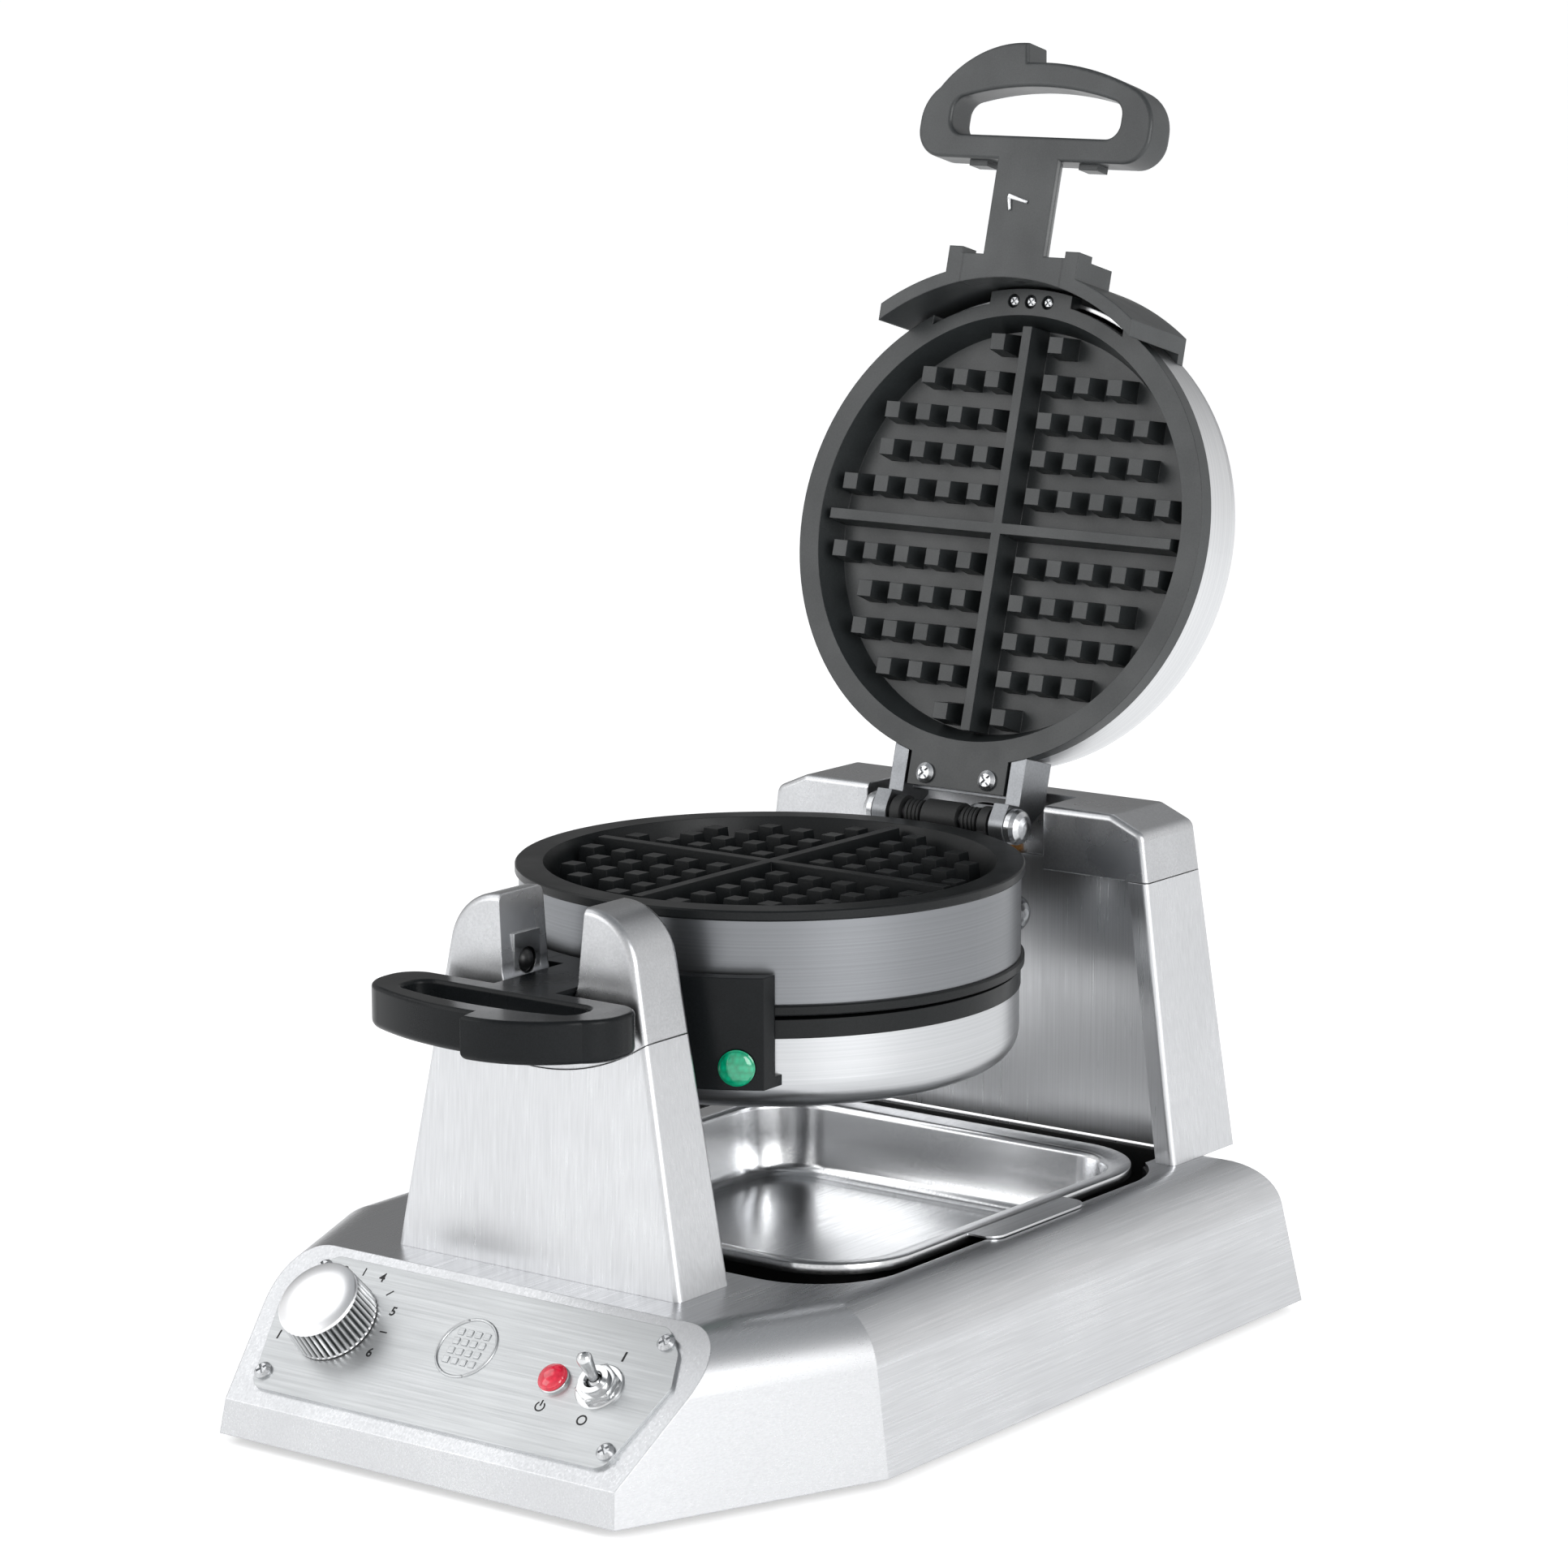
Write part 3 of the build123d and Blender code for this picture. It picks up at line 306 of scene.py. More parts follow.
def brushed_steel(name, light, dark, stroke, roughness, spacing=STROKE_SPACING, edge=0.6 * MM):
    """Stainless sheet rubbed with a belt along one axis: fine straight lines that catch the light."""
    material, tree, shader = new_material(name, metallic=1.0)
    place = add(tree, "ShaderNodeTexCoord").outputs["Object"]
    scale = [1 / STROKE_LENGTH if axis == stroke else 1 / spacing for axis in "xyz"]
    along = add(tree, "ShaderNodeMapping", {"Vector": place, "Scale": scale}).outputs["Vector"]
    lines = grain(tree, along, 1.0)
    cloud = grain(tree, place, 1 / (55 * MM), 2.0)
    drift = span(tree, cloud, -0.10, 0.10)
    both = add(tree, "ShaderNodeMath", {0: lines, 1: drift}, operation="ADD").outputs[0]
    tree.links.new(ramp(tree, both, linear(dark), linear(light)), shader.inputs["Base Color"])
    tree.links.new(span(tree, both, roughness + 0.05, roughness - 0.04), shader.inputs["Roughness"])
    rounded = add(tree, "ShaderNodeBevel", {"Radius": edge}, samples=4).outputs["Normal"]
    relief(tree, shader, lines, 0.02 * MM, 0.13, rounded)
    return material


def spun_metal(name, light, dark, centre, tilt, roughness, ring=0.8 * MM):
    """Aluminium turned on a lathe and satin-rubbed: fine rings round the piece's own axis."""
    material, tree, shader = new_material(name, metallic=1.0)
    place = add(tree, "ShaderNodeTexCoord").outputs["Object"]
    own = add(tree, "ShaderNodeMapping", {"Vector": place, "Location": centre, "Rotation": (tilt, 0, 0)},
              vector_type="TEXTURE").outputs["Vector"]
    split = add(tree, "ShaderNodeSeparateXYZ", {"Vector": own})
    flat = add(tree, "ShaderNodeCombineXYZ", {"X": split.outputs["X"], "Y": split.outputs["Y"]})
    reach = add(tree, "ShaderNodeVectorMath", {0: flat.outputs["Vector"]}, operation="LENGTH")
    radius = reach.outputs["Value"]
    rings = add(tree, "ShaderNodeCombineXYZ", {"X": radius, "Z": split.outputs["Z"]}).outputs["Vector"]
    lines = grain(tree, rings, 1 / ring, 3.0)
    cloud = grain(tree, place, 1 / (60 * MM), 2.0)
    tree.links.new(ramp(tree, lines, linear(dark), linear(light)), shader.inputs["Base Color"])
    tree.links.new(span(tree, cloud, roughness + 0.04, roughness - 0.03), shader.inputs["Roughness"])
    rounded = add(tree, "ShaderNodeBevel", {"Radius": 0.6 * MM}, samples=4).outputs["Normal"]
    relief(tree, shader, lines, 0.015 * MM, 0.15, rounded)
    return material


def speckled(name, light, dark, roughness, size, depth, metallic=0.0, edge=0.5 * MM, **sockets):
    """Surface with an even fine grain, as a mould or a sprayed coat leaves it.

    Its colour, gloss and relief vary with the grain and with broad faint clouds.
    """
    material, tree, shader = new_material(name, metallic=metallic, **sockets)
    place = add(tree, "ShaderNodeTexCoord").outputs["Object"]
    fine = grain(tree, place, 1 / size, 2.0)
    cloud = grain(tree, place, 1 / (28 * MM), 3.0)
    drift = span(tree, cloud, -0.12, 0.12)
    both = add(tree, "ShaderNodeMath", {0: fine, 1: drift}, operation="ADD").outputs[0]
    tree.links.new(ramp(tree, both, linear(dark), linear(light)), shader.inputs["Base Color"])
    tree.links.new(span(tree, cloud, roughness + 0.06, roughness - 0.05), shader.inputs["Roughness"])
    rounded = add(tree, "ShaderNodeBevel", {"Radius": edge}, samples=4).outputs["Normal"]
    relief(tree, shader, fine, depth, 0.5, rounded)
    return material


def moulded_lens(name, light, dark, glow):
    """Tinted polycarbonate lens with prisms inside: deep colour, wet gloss and small bright facets."""
    material, tree, shader = new_material(name, roughness=0.12, coat_weight=0.6, coat_roughness=0.04,
                                          ior=1.58)
    place = add(tree, "ShaderNodeTexCoord").outputs["Object"]
    cells = add(tree, "ShaderNodeTexVoronoi", {"Vector": place, "Scale": 1 / (1.8 * MM)}, feature="F1")
    colour = ramp(tree, cells.outputs["Distance"], linear(light), linear(dark), 0.15, 1.0)
    tree.links.new(colour, shader.inputs["Base Color"])
    tree.links.new(colour, shader.inputs["Emission Color"])
    shader.inputs["Emission Strength"].default_value = glow
    relief(tree, shader, cells.outputs["Distance"], 0.12 * MM, 0.2)
    return material


def fluted_chrome(name, light, dark, roughness):
    """Chrome plate on a fluted wall: bright on the ridges and dark down in the grooves, where shade is
    painted into its colour.

    The attribute groove runs from 0 on a ridge to 1 at the bottom of a groove.
    """
    material, tree, shader = new_material(name, metallic=1.0, roughness=roughness)
    groove = add(tree, "ShaderNodeAttribute", attribute_name="groove").outputs["Fac"]
    fine = grain(tree, add(tree, "ShaderNodeTexCoord").outputs["Object"], 1 / (2 * MM))
    tree.links.new(ramp(tree, groove, linear(light), linear(dark), 0.25, 0.9), shader.inputs["Base Color"])
    relief(tree, shader, fine, 0.004 * MM, 0.4)
    return material


# Stainless sheet, rubbed with a belt along its longest side: strokes that spread a highlight across them.
base_steel = brushed_steel("brushed_stainless_base", "CBCCCE", "BFC0C2", "y", 0.30)
tower_steel = brushed_steel("brushed_stainless_upright", "CDCED0", "C3C4C6", "z", 0.31, edge=0.35 * MM)
panel_steel = brushed_steel("brushed_stainless_panel", "C6C8C9", "BEC0C1", "x", 0.40, edge=0.3 * MM)
tray_steel = brushed_steel("bright_pressed_steel", "D9DADB", "CBCCCE", "y", 0.20, 1.1 * MM, 0.3 * MM)

# Aluminium, spun on a lathe: rings round each shell's own axis that draw its highlight out into a fan.
upper_centre = on_upper_lid(np.array([0, drum_centre_y, upper_hinge[2]]))
lower_centre = np.array([0, drum_centre_y, lower_hinge[2]])
upper_spun = spun_metal("spun_aluminium_upper", "DADBDC", "CDCED0", upper_centre, -lid_open, 0.30)
# The lower shell is the same aluminium as the upper, painted darker as shade.
lower_spun_shaded = spun_metal("spun_aluminium_lower_painted_shade", "C2C3C5", "B4B6B8", lower_centre, lid_sag, 0.30)
band_metal = spun_metal("satin_aluminium_band", "828487", "77797C", lower_centre, 0.0, 0.32)

# Cast, plated and sintered metal: a faint grain under a soft or a sharp mirror.
cap_metal = speckled("satin_cast_aluminium", "C2C3C5", "B6B7B9", 0.28, 0.9 * MM, 0.008 * MM, metallic=1.0,
                     edge=0.8 * MM)
bright_steel = speckled("bright_zinc_steel", "C4C5C7", "B4B6B8", 0.26, 0.8 * MM, 0.004 * MM, metallic=1.0,
                        edge=0.2 * MM)
# Cast zinc, a little darker than steel in its own tone and darkened further as painted shade on the hinge
# arms.
arm_zinc_shaded = speckled("cast_zinc_arm_painted_shade", "8B8D90", "7F8184", 0.36, 0.8 * MM, 0.006 * MM, metallic=1.0)
chrome = speckled("chrome_plate", "D6D7D8", "CCCDCE", 0.16, 6 * MM, 0.002 * MM, metallic=1.0, edge=0.15 * MM)
# The knob's chrome, darkened down in its flutes as painted shade.
knob_chrome_groove_shade = fluted_chrome("fluted_chrome_painted_groove_shade", "F4F4F5", "3A3C3D", 0.32)
bronze = speckled("sintered_bronze", "A9783F", "8B6030", 0.4, 0.5 * MM, 0.05 * MM, metallic=1.0)
heater_sheath = speckled("heat_tinted_sheath", "6E6258", "4A4038", 0.45, 0.9 * MM, 0.03 * MM, metallic=1.0)

# Non-stick coat and moulded phenolic: near black, with a fine orange peel that softens the gloss.
nonstick = speckled("nonstick_coat_on_cast_aluminium", "2A2D2E", "212425", 0.34, 0.7 * MM, 0.04 * MM,
                    edge=0.4 * MM)
# The same coat as above, painted darker as shade on the drum's plates and the lower lid's plate.
nonstick_painted_shade = speckled("nonstick_coat_painted_shade", "17191A", "101213", 0.34, 0.7 * MM, 0.04 * MM, edge=0.4 * MM,
                         specular_ior_level=0.2)
phenolic = speckled("moulded_phenolic", "333637", "2B2D2E", 0.34, 0.6 * MM, 0.03 * MM, edge=0.8 * MM)
# The same phenolic as the upper lid's, painted darker as shade on the lower lid's handle and bracket.
phenolic_painted_shade = speckled("phenolic_lower_lid_painted_shade", "17191B", "111314", 0.24, 0.6 * MM, 0.02 * MM, edge=0.8 * MM,
                            specular_ior_level=0.14)

# Enamel, rubber, plastics and print: matt or half matt, with the grain of the mould or the spray.
# Black enamel, also laid on the tray's well as painted shade in the gap round the tray.
black_paint_and_well_shade = speckled("matt_black_enamel_and_well_shade", "1C1D1E", "121313", 0.55, 0.8 * MM, 0.04 * MM)
rubber = speckled("moulded_rubber", "232324", "191919", 0.75, 0.6 * MM, 0.05 * MM)
nylon = speckled("black_nylon", "1E1F20", "141516", 0.35, 0.7 * MM, 0.02 * MM)
ivory = speckled("ivory_urea_moulding", "D8D3C2", "C9C3B0", 0.5, 0.8 * MM, 0.03 * MM)
board_green = speckled("glass_epoxy_board", "2F5B3C", "254A31", 0.4, 0.6 * MM, 0.02 * MM)
ink = speckled("screen_ink", "1A1A1B", "101011", 0.5, 0.5 * MM, 0.01 * MM, edge=0.05 * MM)
red_lens = moulded_lens("red_polycarbonate", "DC2440", "B40C2A", 0.18)
green_lens = moulded_lens("green_polycarbonate", "009C72", "007854", 0.14)

finishes = {
    base_steel: ["base_housing"],
    tower_steel: ["front_tower_shell", "rear_tower_shell"],
    cap_metal: ["front_tower_cap", "rear_tower_cap"],
    panel_steel: ["control_panel"],
    upper_spun: ["upper_lid_shell"],
    lower_spun_shaded: ["lower_lid_shell"],
    band_metal: ["drum_band"],
    nonstick: ["upper_grid_plate"],
    nonstick_painted_shade: ["upper_body_plate", "lower_body_plate", "lower_grid_plate"],
    phenolic: ["upper_lid_handle", "upper_lid_bracket"],
    phenolic_painted_shade: ["lower_lid_handle", "lower_lid_bracket"],
    # tray_well is black as painted shade in the gap round the tray; the hinge yoke's black is its own.
    black_paint_and_well_shade: ["tray_well", "hinge_yoke", "bottom_cover"],
    chrome: ["lamp_bezel", "switch_body", "detent_plates"],
    bright_steel: ["cover_screws", "panel_screws", "detent_springs", "regulator_shaft", "yoke_screws",
                   "hinge_pins", "pin_nuts", "axle_collar", "rear_axle", "bearing_plate",
                   "upper_lid_screws", "lower_lid_screws", "body_sensor"],
    arm_zinc_shaded: ["upper_hinge_arms", "lower_hinge_arms"],
    bronze: ["axle_bush"],
    heater_sheath: ["body_heater", "upper_lid_heater", "lower_lid_heater"],
    rubber: ["rubber_feet"],
    nylon: ["detent_ball_left", "detent_ball_right", "cord_gland"],
    ivory: ["regulator_body", "terminal_block"],
    board_green: ["control_board"],
}
for finish, names in finishes.items():
    for name in names:
        nodes[name].data.materials.clear()
        nodes[name].data.materials.append(finish)


# ---------------------------------------------------------------- control panel
KNOB_RADIUS, KNOB_TOP, KNOB_HEIGHT = 17.6 * MM, 16.6 * MM, 16.0 * MM
KNOB_GAP = 0.6 * MM
SHAFT_HOLE, SHAFT_DEPTH = 3.4 * MM, 4 * MM
FLUTES = 44
FLUTE_DEPTH = 1.1 * MM


def dial_knob():
    """Chromed knob: a turned profile whose wall is scalloped by a cosine raised to a low power.

    The depth of each scallop is kept as the attribute groove, by which the plating's colour is darkened as
    painted shade.
    """
    r, top, h, low = KNOB_RADIUS, KNOB_TOP, KNOB_HEIGHT, KNOB_GAP
    rise = (top - r) / (h - 3 * MM)
    wall = [(r + rise * (z - low), z) for z in np.linspace(low + 0.6 * MM, h - 1.7 * MM, 5)]
    hole = [(0.0, low + SHAFT_DEPTH), (SHAFT_HOLE, low + SHAFT_DEPTH), (SHAFT_HOLE, low), (r - 0.5 * MM, low)]
    face = [(top - 0.1 * MM, h - 1.2 * MM), (top - 0.35 * MM, h - 0.5 * MM), (top - 0.9 * MM, h),
            (0.5 * r, h + 0.02 * MM), (0.0, h + 0.03 * MM)]
    profile = hole + wall + face
    share = np.zeros(len(profile))
    share[len(hole):len(hole) + len(wall)] = (1.0, 1.0, 1.0, 1.0, 0.9)

    def scallop(angle, row):
        """Depth cut into the wall at an angle, by the share that each row of the profile takes."""
        return -FLUTE_DEPTH * share[row] * np.abs(np.cos(angle * FLUTES / 2)) ** 1.2

    skin = turned(profile, knob_centre, panel_out, FLUTES * 8, scallop)
    knob = piece("dial_knob", [skin], knob_chrome_groove_shade, "knob", ["control_knob"], sharp=50)
    points = np.empty((len(knob.data.vertices), 3))
    knob.data.vertices.foreach_get("co", points.ravel())
    away = points - knob_centre
    height = away @ panel_out
    spread = np.linalg.norm(away - height[:, None] * panel_out, axis=1)
    full = r + rise * (height - low)
    on_wall = (height > low + 0.3 * MM) & (height < h - 1.4 * MM) & (spread > r - 2.5 * MM)
    groove = np.where(on_wall, np.clip((full - spread) / FLUTE_DEPTH, 0, 1), 0.0)
    knob.data.attributes.new("groove", "FLOAT", "POINT").data.foreach_set("value", groove)


BAT_LEAN = np.radians(sum(joint["toggle_throw"]["range_deg"]) / 2)
BALL_RADIUS, TIP_RADIUS, TIP_PLACE = 3.4 * MM, 2.95 * MM, 13.1 * MM
TIP_HEIGHT = 2.9 * MM
NUT_FLAT, NUT_BORE, NUT_LOW, NUT_HIGH = 7.45 * MM, 6.05 * MM, 1.0 * MM, 3.7 * MM
WASHER_RADIUS = 9.6 * MM


def switch_bat():
    """Toggle's bat: a ball in its socket, then a stem that swells evenly towards a round tip."""
    pivot = np.array(joint["toggle_throw"]["pos_m"])
    axis = np.cos(BAT_LEAN) * panel_out + np.sin(BAT_LEAN) * panel_up
    low, high = np.radians(np.linspace(-90, 55, 9)), np.linspace(0, np.pi / 2, 8)
    profile = [(BALL_RADIUS * np.cos(t), BALL_RADIUS * np.sin(t)) for t in low]
    profile += [(1.95 * MM, 3.4 * MM), (2.1 * MM, 6.0 * MM), (2.55 * MM, 10.0 * MM)]
    profile += [(TIP_RADIUS * np.cos(t), TIP_PLACE + TIP_HEIGHT * np.sin(t)) for t in high]
    piece("switch_bat", [turned(profile, pivot, axis, 40)], chrome, "toggle", ["toggle_lever"])


def bushing_nut():
    """Six-sided nut on a washer: each wall point stands at the flat's distance over the cosine of its angle.

    The corners are cut back at both ends by a cone, so that each end is a circle.
    """
    def across_flats(angle, row):
        """How much further out than the flats the wall is at an angle, in the rows that have corners."""
        from_flat = (angle + TURN / 12) % (TURN / 6) - TURN / 12
        return corners[row] * NUT_FLAT * (1 / np.cos(from_flat) - 1)

    corners = np.array([0, 0.25, 1, 1, 0.25, 0, 0])
    nut = [(NUT_BORE, NUT_LOW), (NUT_FLAT, NUT_LOW), (NUT_FLAT, NUT_LOW + 0.5 * MM),
           (NUT_FLAT, NUT_HIGH - 0.6 * MM), (NUT_FLAT, NUT_HIGH - 0.1 * MM), (NUT_FLAT - 0.4 * MM, NUT_HIGH),
           (NUT_BORE, NUT_HIGH)]
    washer = [(NUT_BORE, 0.0), (WASHER_RADIUS, 0.0), (WASHER_RADIUS, 0.6 * MM),
              (WASHER_RADIUS - 0.4 * MM, 0.95 * MM), (NUT_BORE, NUT_LOW)]
    rings = [turned(nut, switch_centre, panel_out, 72, across_flats),
             turned(washer, switch_centre, panel_out, 72)]
    rings = [(points, np.vstack([faces, closing(points)])) for points, faces in rings]
    piece("bushing_nut", rings, chrome, "base", ["switch_nut"], sharp=20)


FIGURES = 6
FIGURE_RADIUS, FIGURE_SIZE = 24.2 * MM, 5.4 * MM
FIRST_FIGURE, FIGURE_STEP = np.radians(204.7), np.radians(45.3)
TICK_RADIUS, TICK_HALF_LENGTH, TICK_HALF_WIDTH = 23.2 * MM, 1.7 * MM, 0.28 * MM
PRINT = 0.06 * MM             # how far the ink stands off the panel


def dial_figures():
    """Figures 1 to 6 at even steps round the knob, with a short tick half way between each two."""
    prints = []
    tick = box_outline(TICK_HALF_LENGTH, TICK_HALF_WIDTH, (TICK_RADIUS, 0))
    for k in range(FIGURES):
        angle = FIRST_FIGURE - k * FIGURE_STEP
        at = knob_centre + FIGURE_RADIUS * (np.cos(angle) * panel_right + np.sin(angle) * panel_up)
        prints.append(figure(str(k + 1), FIGURE_SIZE, at, panel_right, panel_up, PRINT))
    for k in range(FIGURES - 1):
        angle = FIRST_FIGURE - (k + 0.5) * FIGURE_STEP
        out = np.cos(angle) * panel_right + np.sin(angle) * panel_up
        prints.append(slab(tick, knob_centre, out, np.cross(panel_out, out), PRINT))
    piece("dial_figures", prints, ink, "base")


SWITCH_MARK_RISE, LAMP_MARK_DROP = 14.2 * MM, 11.5 * MM


def switch_marks():
    """Bar above the switch and ring below it, and a broken ring with a bar below the lamp."""
    on_mark = switch_centre + panel_up * SWITCH_MARK_RISE + panel_right * 3 * MM
    off_mark = switch_centre - panel_up * SWITCH_MARK_RISE
    lamp_mark = lamp_centre - panel_up * LAMP_MARK_DROP
    gap_end, gap_start = np.radians(125), np.radians(415)
    marks = [slab(box_outline(0.45 * MM, 2.1 * MM), on_mark, panel_right, panel_up, PRINT),
             band(1.5 * MM, 2.2 * MM, 0, TURN, off_mark, panel_right, panel_up, PRINT),
             band(1.6 * MM, 2.2 * MM, gap_end, gap_start, lamp_mark, panel_right, panel_up, PRINT),
             slab(box_outline(0.32 * MM, 1.3 * MM, (0, 1.5 * MM)), lamp_mark, panel_right, panel_up, PRINT)]
    piece("switch_marks", marks, ink, "base")


def badge():
    """Pressed emblem of a round waffle: a beaded ring round a field of small raised squares."""
    ring_radius, pitch, half, lift = 12.5 * MM, 4.1 * MM, 1.35 * MM, 0.45 * MM
    angle = np.arange(96) * TURN / 96
    spoke = np.cos(angle)[:, None] * panel_right + np.sin(angle)[:, None] * panel_up
    surfaces = [tube(badge_centre + ring_radius * spoke, 0.65 * MM, 10, closed=True)]
    steps = (np.arange(6) - 2.5) * pitch
    for u in steps:
        for v in steps:
            if np.hypot(u, v) + half < ring_radius - 0.8 * MM:
                square = box_outline(half, half, (u, v))
                surfaces.append(slab(square, badge_centre, panel_right, panel_up, lift))
    piece("pressed_badge", surfaces, panel_steel, "base", bevel=0.15 * MM)


def lens(name, origin, axis, radius, stand, dome, material, body, replaced, sides):
    """Lens: a narrow stem, a flange on its bezel, and a dome whose height is the cosine of an angle."""
    climb = np.linspace(0, np.pi / 2, 9)
    stem, foot, flange = radius - 1.0 * MM, -2 * MM, stand - 0.4 * MM
    profile = [(0.0, foot), (stem, foot), (stem, flange), (radius, flange), (radius, stand)]
    profile += [(radius * 0.94 * np.cos(t), stand + 0.3 * MM + dome * np.sin(t)) for t in climb]
    piece(name, [turned(profile, origin, axis, sides)], material, body, [replaced], sharp=14)


LAMP_RADIUS = 5.9 * MM
READY_RADIUS, READY_OUT, READY_BELOW = 7.0 * MM, 107.3 * MM, 16.3 * MM
READY_ANGLE = np.radians(30)
LID_FACE = 20.6 * MM          # a shut lid's flange plane above the drum's axis


def ready_lamps():
    """A lamp in each lid's bracket, a third of the way round from the handle, facing straight out."""
    out = np.array([-np.sin(READY_ANGLE), -np.cos(READY_ANGLE), 0.0])
    at = out * READY_OUT + [0, drum_centre_y, drum_axis[2] + LID_FACE + READY_BELOW]
    for side, carry in (("upper", on_upper_lid), ("lower", on_lower_lid)):
        foot, tip = carry(at), carry(at + out)
        lens(f"{side}_ready_lens", foot, tip - foot, READY_RADIUS, 0.6 * MM, 2.2 * MM, green_lens,
             f"{side}_lid", f"{side}_ready_lamp", 40)


# ---------------------------------------------------------------- hinge
PIN_X, COIL_RADIUS, WIRE, COIL_LENGTH, COIL_TURNS = 14.0 * MM, 5.2 * MM, 0.85 * MM, 8.0 * MM, 4


def hinge_coils():
    """Torsion springs on the hinge pins: wire on a helix whose angle grows evenly along the pin."""
    t = np.linspace(0, 1, COIL_TURNS * 28)
    angle = t * TURN * COIL_TURNS
    springs = []
    for pin in (upper_hinge, lower_hinge):
        for side in (-1, 1):
            x = side * PIN_X + (t - 0.5) * COIL_LENGTH
            y, z = pin[1] + COIL_RADIUS * np.cos(angle), pin[2] + COIL_RADIUS * np.sin(angle)
            springs.append(tube(np.stack([x, y, z], -1), WIRE, 10))
    piece("hinge_coils", springs, black_paint_and_well_shade, "drum", ["hinge_springs"])


# ---------------------------------------------------------------- drip tray
TRAY_CORNER, TRAY_TAB, TRAY_TAB_SOFT = 38 * MM, 12.5 * MM, 7 * MM
TRAY_TAB_Y = (-5.1 * MM, 60.9 * MM)
TRAY_WALL, TAB_THICKNESS = 0.9 * MM, 0.95 * MM


def drip_tray():
    """Pressed pan: a section of (inset, height) carried round a soft rectangle that shrinks with the inset.

    The section runs from the rim's hem over the lip, down a drawn wall and along the floor to its middle, and
    a second one lies a wall's thickness under it. A lifting tab with round corners stands out on each side.
    """
    low, high = (np.array(corner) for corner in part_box("drip_tray"))
    half_x, half_y = high[0] - TRAY_TAB, (high[1] - low[1]) / 2
    middle_y, top, depth = (high[1] + low[1]) / 2, high[2], high[2] - low[2]
    bend = np.linspace(0, np.pi / 2, 7)
    inner = [(0.0, -4.0), (0.0, -0.6), (0.25, -0.15), (0.8, 0.0), (3.6, 0.0), (5.4, -0.1), (7.4, -0.5)]
    inner += [(7.4 + 3.0 * np.sin(t), -0.5 - 3.0 * (1 - np.cos(t))) for t in bend[1:]]
    inner += [(11.4, -14.0), (12.2, -24.0)]
    inner += [(12.6 + 6.0 * (1 - np.cos(t)), -25.0 - 6.0 * np.sin(t)) for t in bend]
    floor = [(24.0, -31.0), (26.0, -30.7), (40.0, -30.6), (70.0, -30.7), (half_x / MM, -30.7)]
    section = np.array(inner + floor) * MM
    along = np.gradient(section, axis=0)
    along /= np.linalg.norm(along, axis=1, keepdims=True)
    under = section + TRAY_WALL * np.stack([along[:, 1], -along[:, 0]], -1)
    under[-1, 0] = half_x
    count = 160
    quarter = count // 4
    corner = np.repeat(np.arange(4), quarter)
    angle = (np.arange(count) % quarter) / (quarter - 1) * np.pi / 2 + corner * np.pi / 2
    sign_x, sign_y = np.array([1, -1, -1, 1])[corner], np.array([1, 1, -1, -1])[corner]

    def loop(inset, height):
        """Rounded rectangle at one inset, at one height below the rim."""
        radius = max(TRAY_CORNER - inset, 0.0)
        x = sign_x * max(half_x - inset - radius, 0.0) + radius * np.cos(angle)
        y = sign_y * (half_y - inset - radius) + radius * np.sin(angle)
        return np.stack([x, y + middle_y, np.full(count, top + height)], -1)

    rows = np.stack([loop(inset, max(height, -depth)) for inset, height in (*under[::-1], *section)])
    surfaces = [(rows, lattice(len(rows), count))]
    tab_half, tab_mid = (TRAY_TAB_Y[1] - TRAY_TAB_Y[0]) / 2, sum(TRAY_TAB_Y) / 2
    origin = np.array([0, tab_mid, top - 1.0 * MM])
    turn = np.linspace(0, np.pi / 2, 8)
    soft, root, tip = TRAY_TAB_SOFT, half_x - 2 * MM, half_x + TRAY_TAB - TRAY_TAB_SOFT
    edge = [(tip + soft * np.cos(t), tab_half - soft + soft * np.sin(t)) for t in turn]
    edge += [(root, tab_half), (root, -tab_half)]
    edge += [(tip + soft * np.cos(t), -tab_half + soft + soft * np.sin(t)) for t in turn - np.pi / 2]
    for side in (-1, 1):
        outline = np.array(edge) * [side, 1]
        surfaces.append(slab(outline, origin, panel_right, np.array([0, 1.0, 0]), TAB_THICKNESS))
    piece("pressed_drip_tray", surfaces, tray_steel, "tray", ["drip_tray"], bevel=0.3 * MM)


# ---------------------------------------------------------------- handle
NECK_FLAT = 2.6 * MM          # a lid's neck is flat this far from the drum's axis
NUMBER_Y = -131.8 * MM


def lid_number(name, carry, body):
    """Raised figure one on the flat of a lid's neck: a tapered stroke across it and a short flag along it."""
    centre = np.array([-2.0 * MM, NUMBER_Y, drum_axis[2] + NECK_FLAT + 0.02 * MM])
    along, across = np.array([0.0, -1.0, 0.0]), np.array([-1.0, 0.0, 0.0])
    stroke = np.array([(-2.6, -5.0), (-1.4, -5.4), (1.4, 4.4), (-0.6, 5.0)]) * MM
    flag = np.array([(-5.8, 3.4), (-5.4, 2.4), (-1.0, 3.0), (-0.5, 4.9)]) * MM
    plates = [slab(shape, centre, along, across, 0.9 * MM) for shape in (stroke, flag)]
    raised = [(carry(points), faces) for points, faces in plates]
    piece(name, raised, cap_metal, body, bevel=0.25 * MM)


dial_knob()
switch_bat()
bushing_nut()
dial_figures()
switch_marks()
badge()
lens("pilot_lens", lamp_centre, panel_out, LAMP_RADIUS, 2.0 * MM, 2.2 * MM, red_lens, "base",
     "pilot_lamp", 40)
ready_lamps()
hinge_coils()
drip_tray()
lid_number("upper_lid_number", on_upper_lid, "upper_lid")


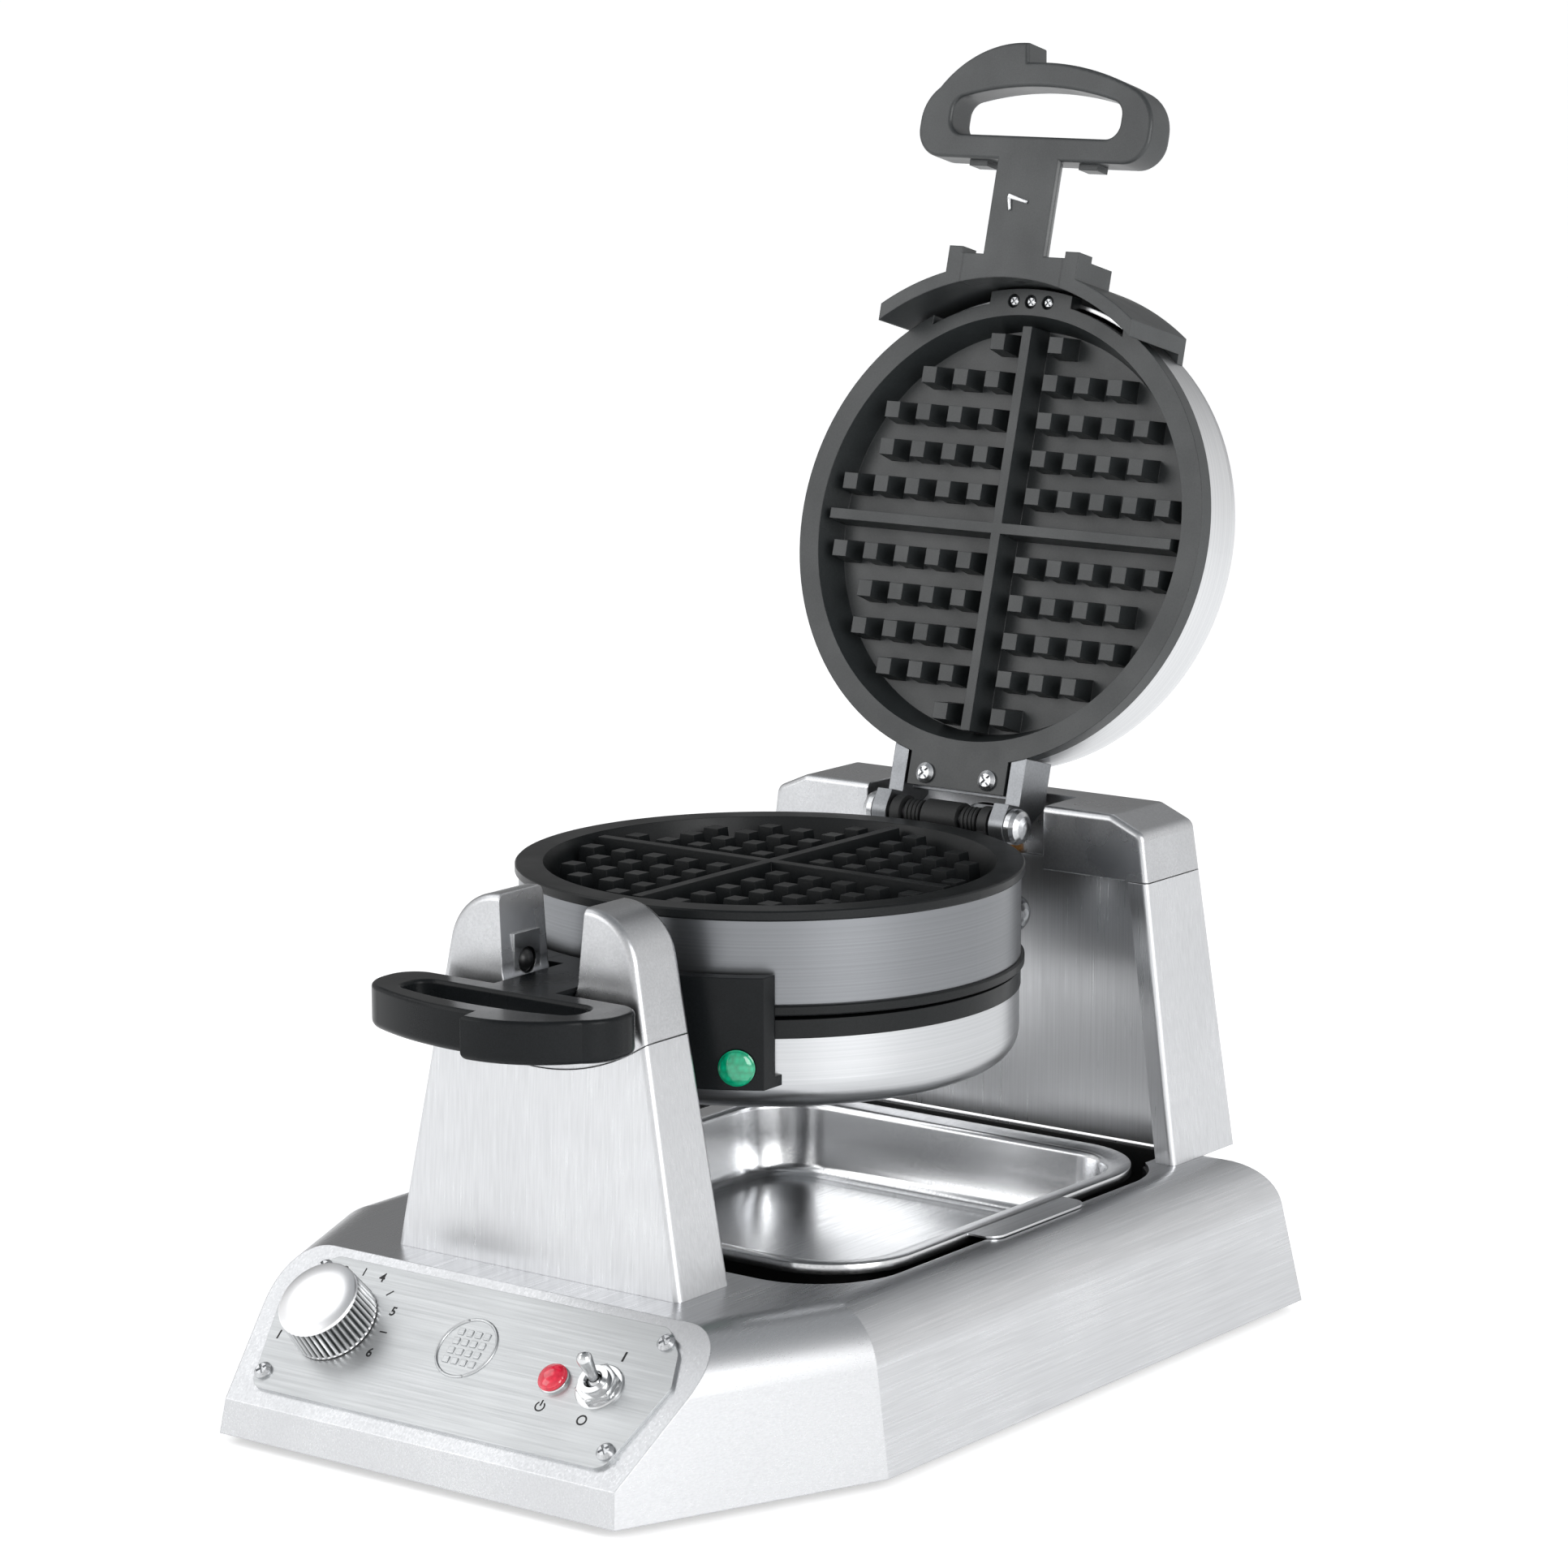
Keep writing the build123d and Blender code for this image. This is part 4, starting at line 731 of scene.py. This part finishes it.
# ---------------------------------------------------------------- floor, light and camera
FLOOR_HALF = 60.0
FAR_WALL = (-0.6, 0.8, 0.0)   # direction of the room's darker side
AIM = Vector((0, 0, 0.2))
# Each lamp's name, place, width in metres and power in watts.
LAMPS = (("key", (-1.35, -1.85, 1.0), 1.3, 9), ("side", (2.1, -0.7, 0.9), 1.3, 26),
         ("top", (-1.3, -0.6, 1.6), 1.0, 4))


def studio():
    """Pale floor in a bright room, three large soft lamps, and a darker far side that only shows mirrored."""
    mesh = bpy.data.meshes.new("floor")
    corners = [(x * FLOOR_HALF, y * FLOOR_HALF, 0) for x, y in ((-1, -1), (1, -1), (1, 1), (-1, 1))]
    mesh.from_pydata(corners, [], [(0, 1, 2, 3)])
    floor = bpy.data.objects.new("floor", mesh)
    bpy.context.collection.objects.link(floor)
    paint, _, _ = new_material("pale_floor", base_color=linear("FAFAFA"), roughness=0.6,
                               emission_color=linear("FFFFFF"), emission_strength=0.5)
    mesh.materials.append(paint)
    world = bpy.data.worlds.new("studio")
    bpy.context.scene.world = world
    world.use_nodes = True
    tree = world.node_tree
    tree.nodes.clear()
    towards = add(tree, "ShaderNodeTexCoord").outputs["Generated"]
    height = add(tree, "ShaderNodeSeparateXYZ", {"Vector": towards}).outputs["Z"]
    sky = ramp(tree, height, linear("FFFFFF"), linear("9EA1A4"), 0.32, 0.95)
    far = add(tree, "ShaderNodeVectorMath", {0: towards, 1: FAR_WALL}, operation="DOT_PRODUCT")
    dimming = span(tree, far.outputs["Value"], 1.0, 0.25, 0.5, 0.93)
    room = add(tree, "ShaderNodeBackground", {"Color": sky, "Strength": dimming}).outputs["Background"]
    white = add(tree, "ShaderNodeBackground", {"Color": linear("FFFFFF"), "Strength": 1.0})
    seen = add(tree, "ShaderNodeLightPath").outputs["Is Camera Ray"]
    both = add(tree, "ShaderNodeMixShader", {0: seen, 1: room, 2: white.outputs["Background"]})
    add(tree, "ShaderNodeOutputWorld", {"Surface": both.outputs["Shader"]})
    for name, place, width, power in LAMPS:
        lamp = bpy.data.lights.new(name, "AREA")
        lamp.size, lamp.energy = width, power
        holder = bpy.data.objects.new(name, lamp)
        bpy.context.collection.objects.link(holder)
        holder.location = place
        holder.rotation_euler = (AIM - Vector(place)).to_track_quat("-Z", "Y").to_euler()


CAMERA_PLACE = (1.14837, -1.53650, 0.58391)
CAMERA_TURN, CAMERA_RISE = 36.56, 10.45      # degrees round from the front, and up
CAMERA_LENS, SENSOR = 114.73, 36.0           # millimetres


def camera():
    """Camera that looks at the panel's right-hand corner from a little above the drum."""
    turn, rise = np.radians(CAMERA_TURN), np.radians(CAMERA_RISE)
    back = Vector((np.sin(turn) * np.cos(rise), -np.cos(turn) * np.cos(rise), np.sin(rise)))
    right = Vector((np.cos(turn), np.sin(turn), 0))
    up = back.cross(right)
    data = bpy.data.cameras.new("view")
    data.lens, data.sensor_width = CAMERA_LENS, SENSOR
    data.clip_start, data.clip_end = 0.05, 30.0
    holder = bpy.data.objects.new("view", data)
    bpy.context.collection.objects.link(holder)
    facing = Matrix((right, up, back)).transposed().to_4x4()
    holder.matrix_world = Matrix.Translation(CAMERA_PLACE) @ facing
    bpy.context.scene.camera = holder


studio()
camera()
bpy.context.scene.view_settings.view_transform = "Standard"
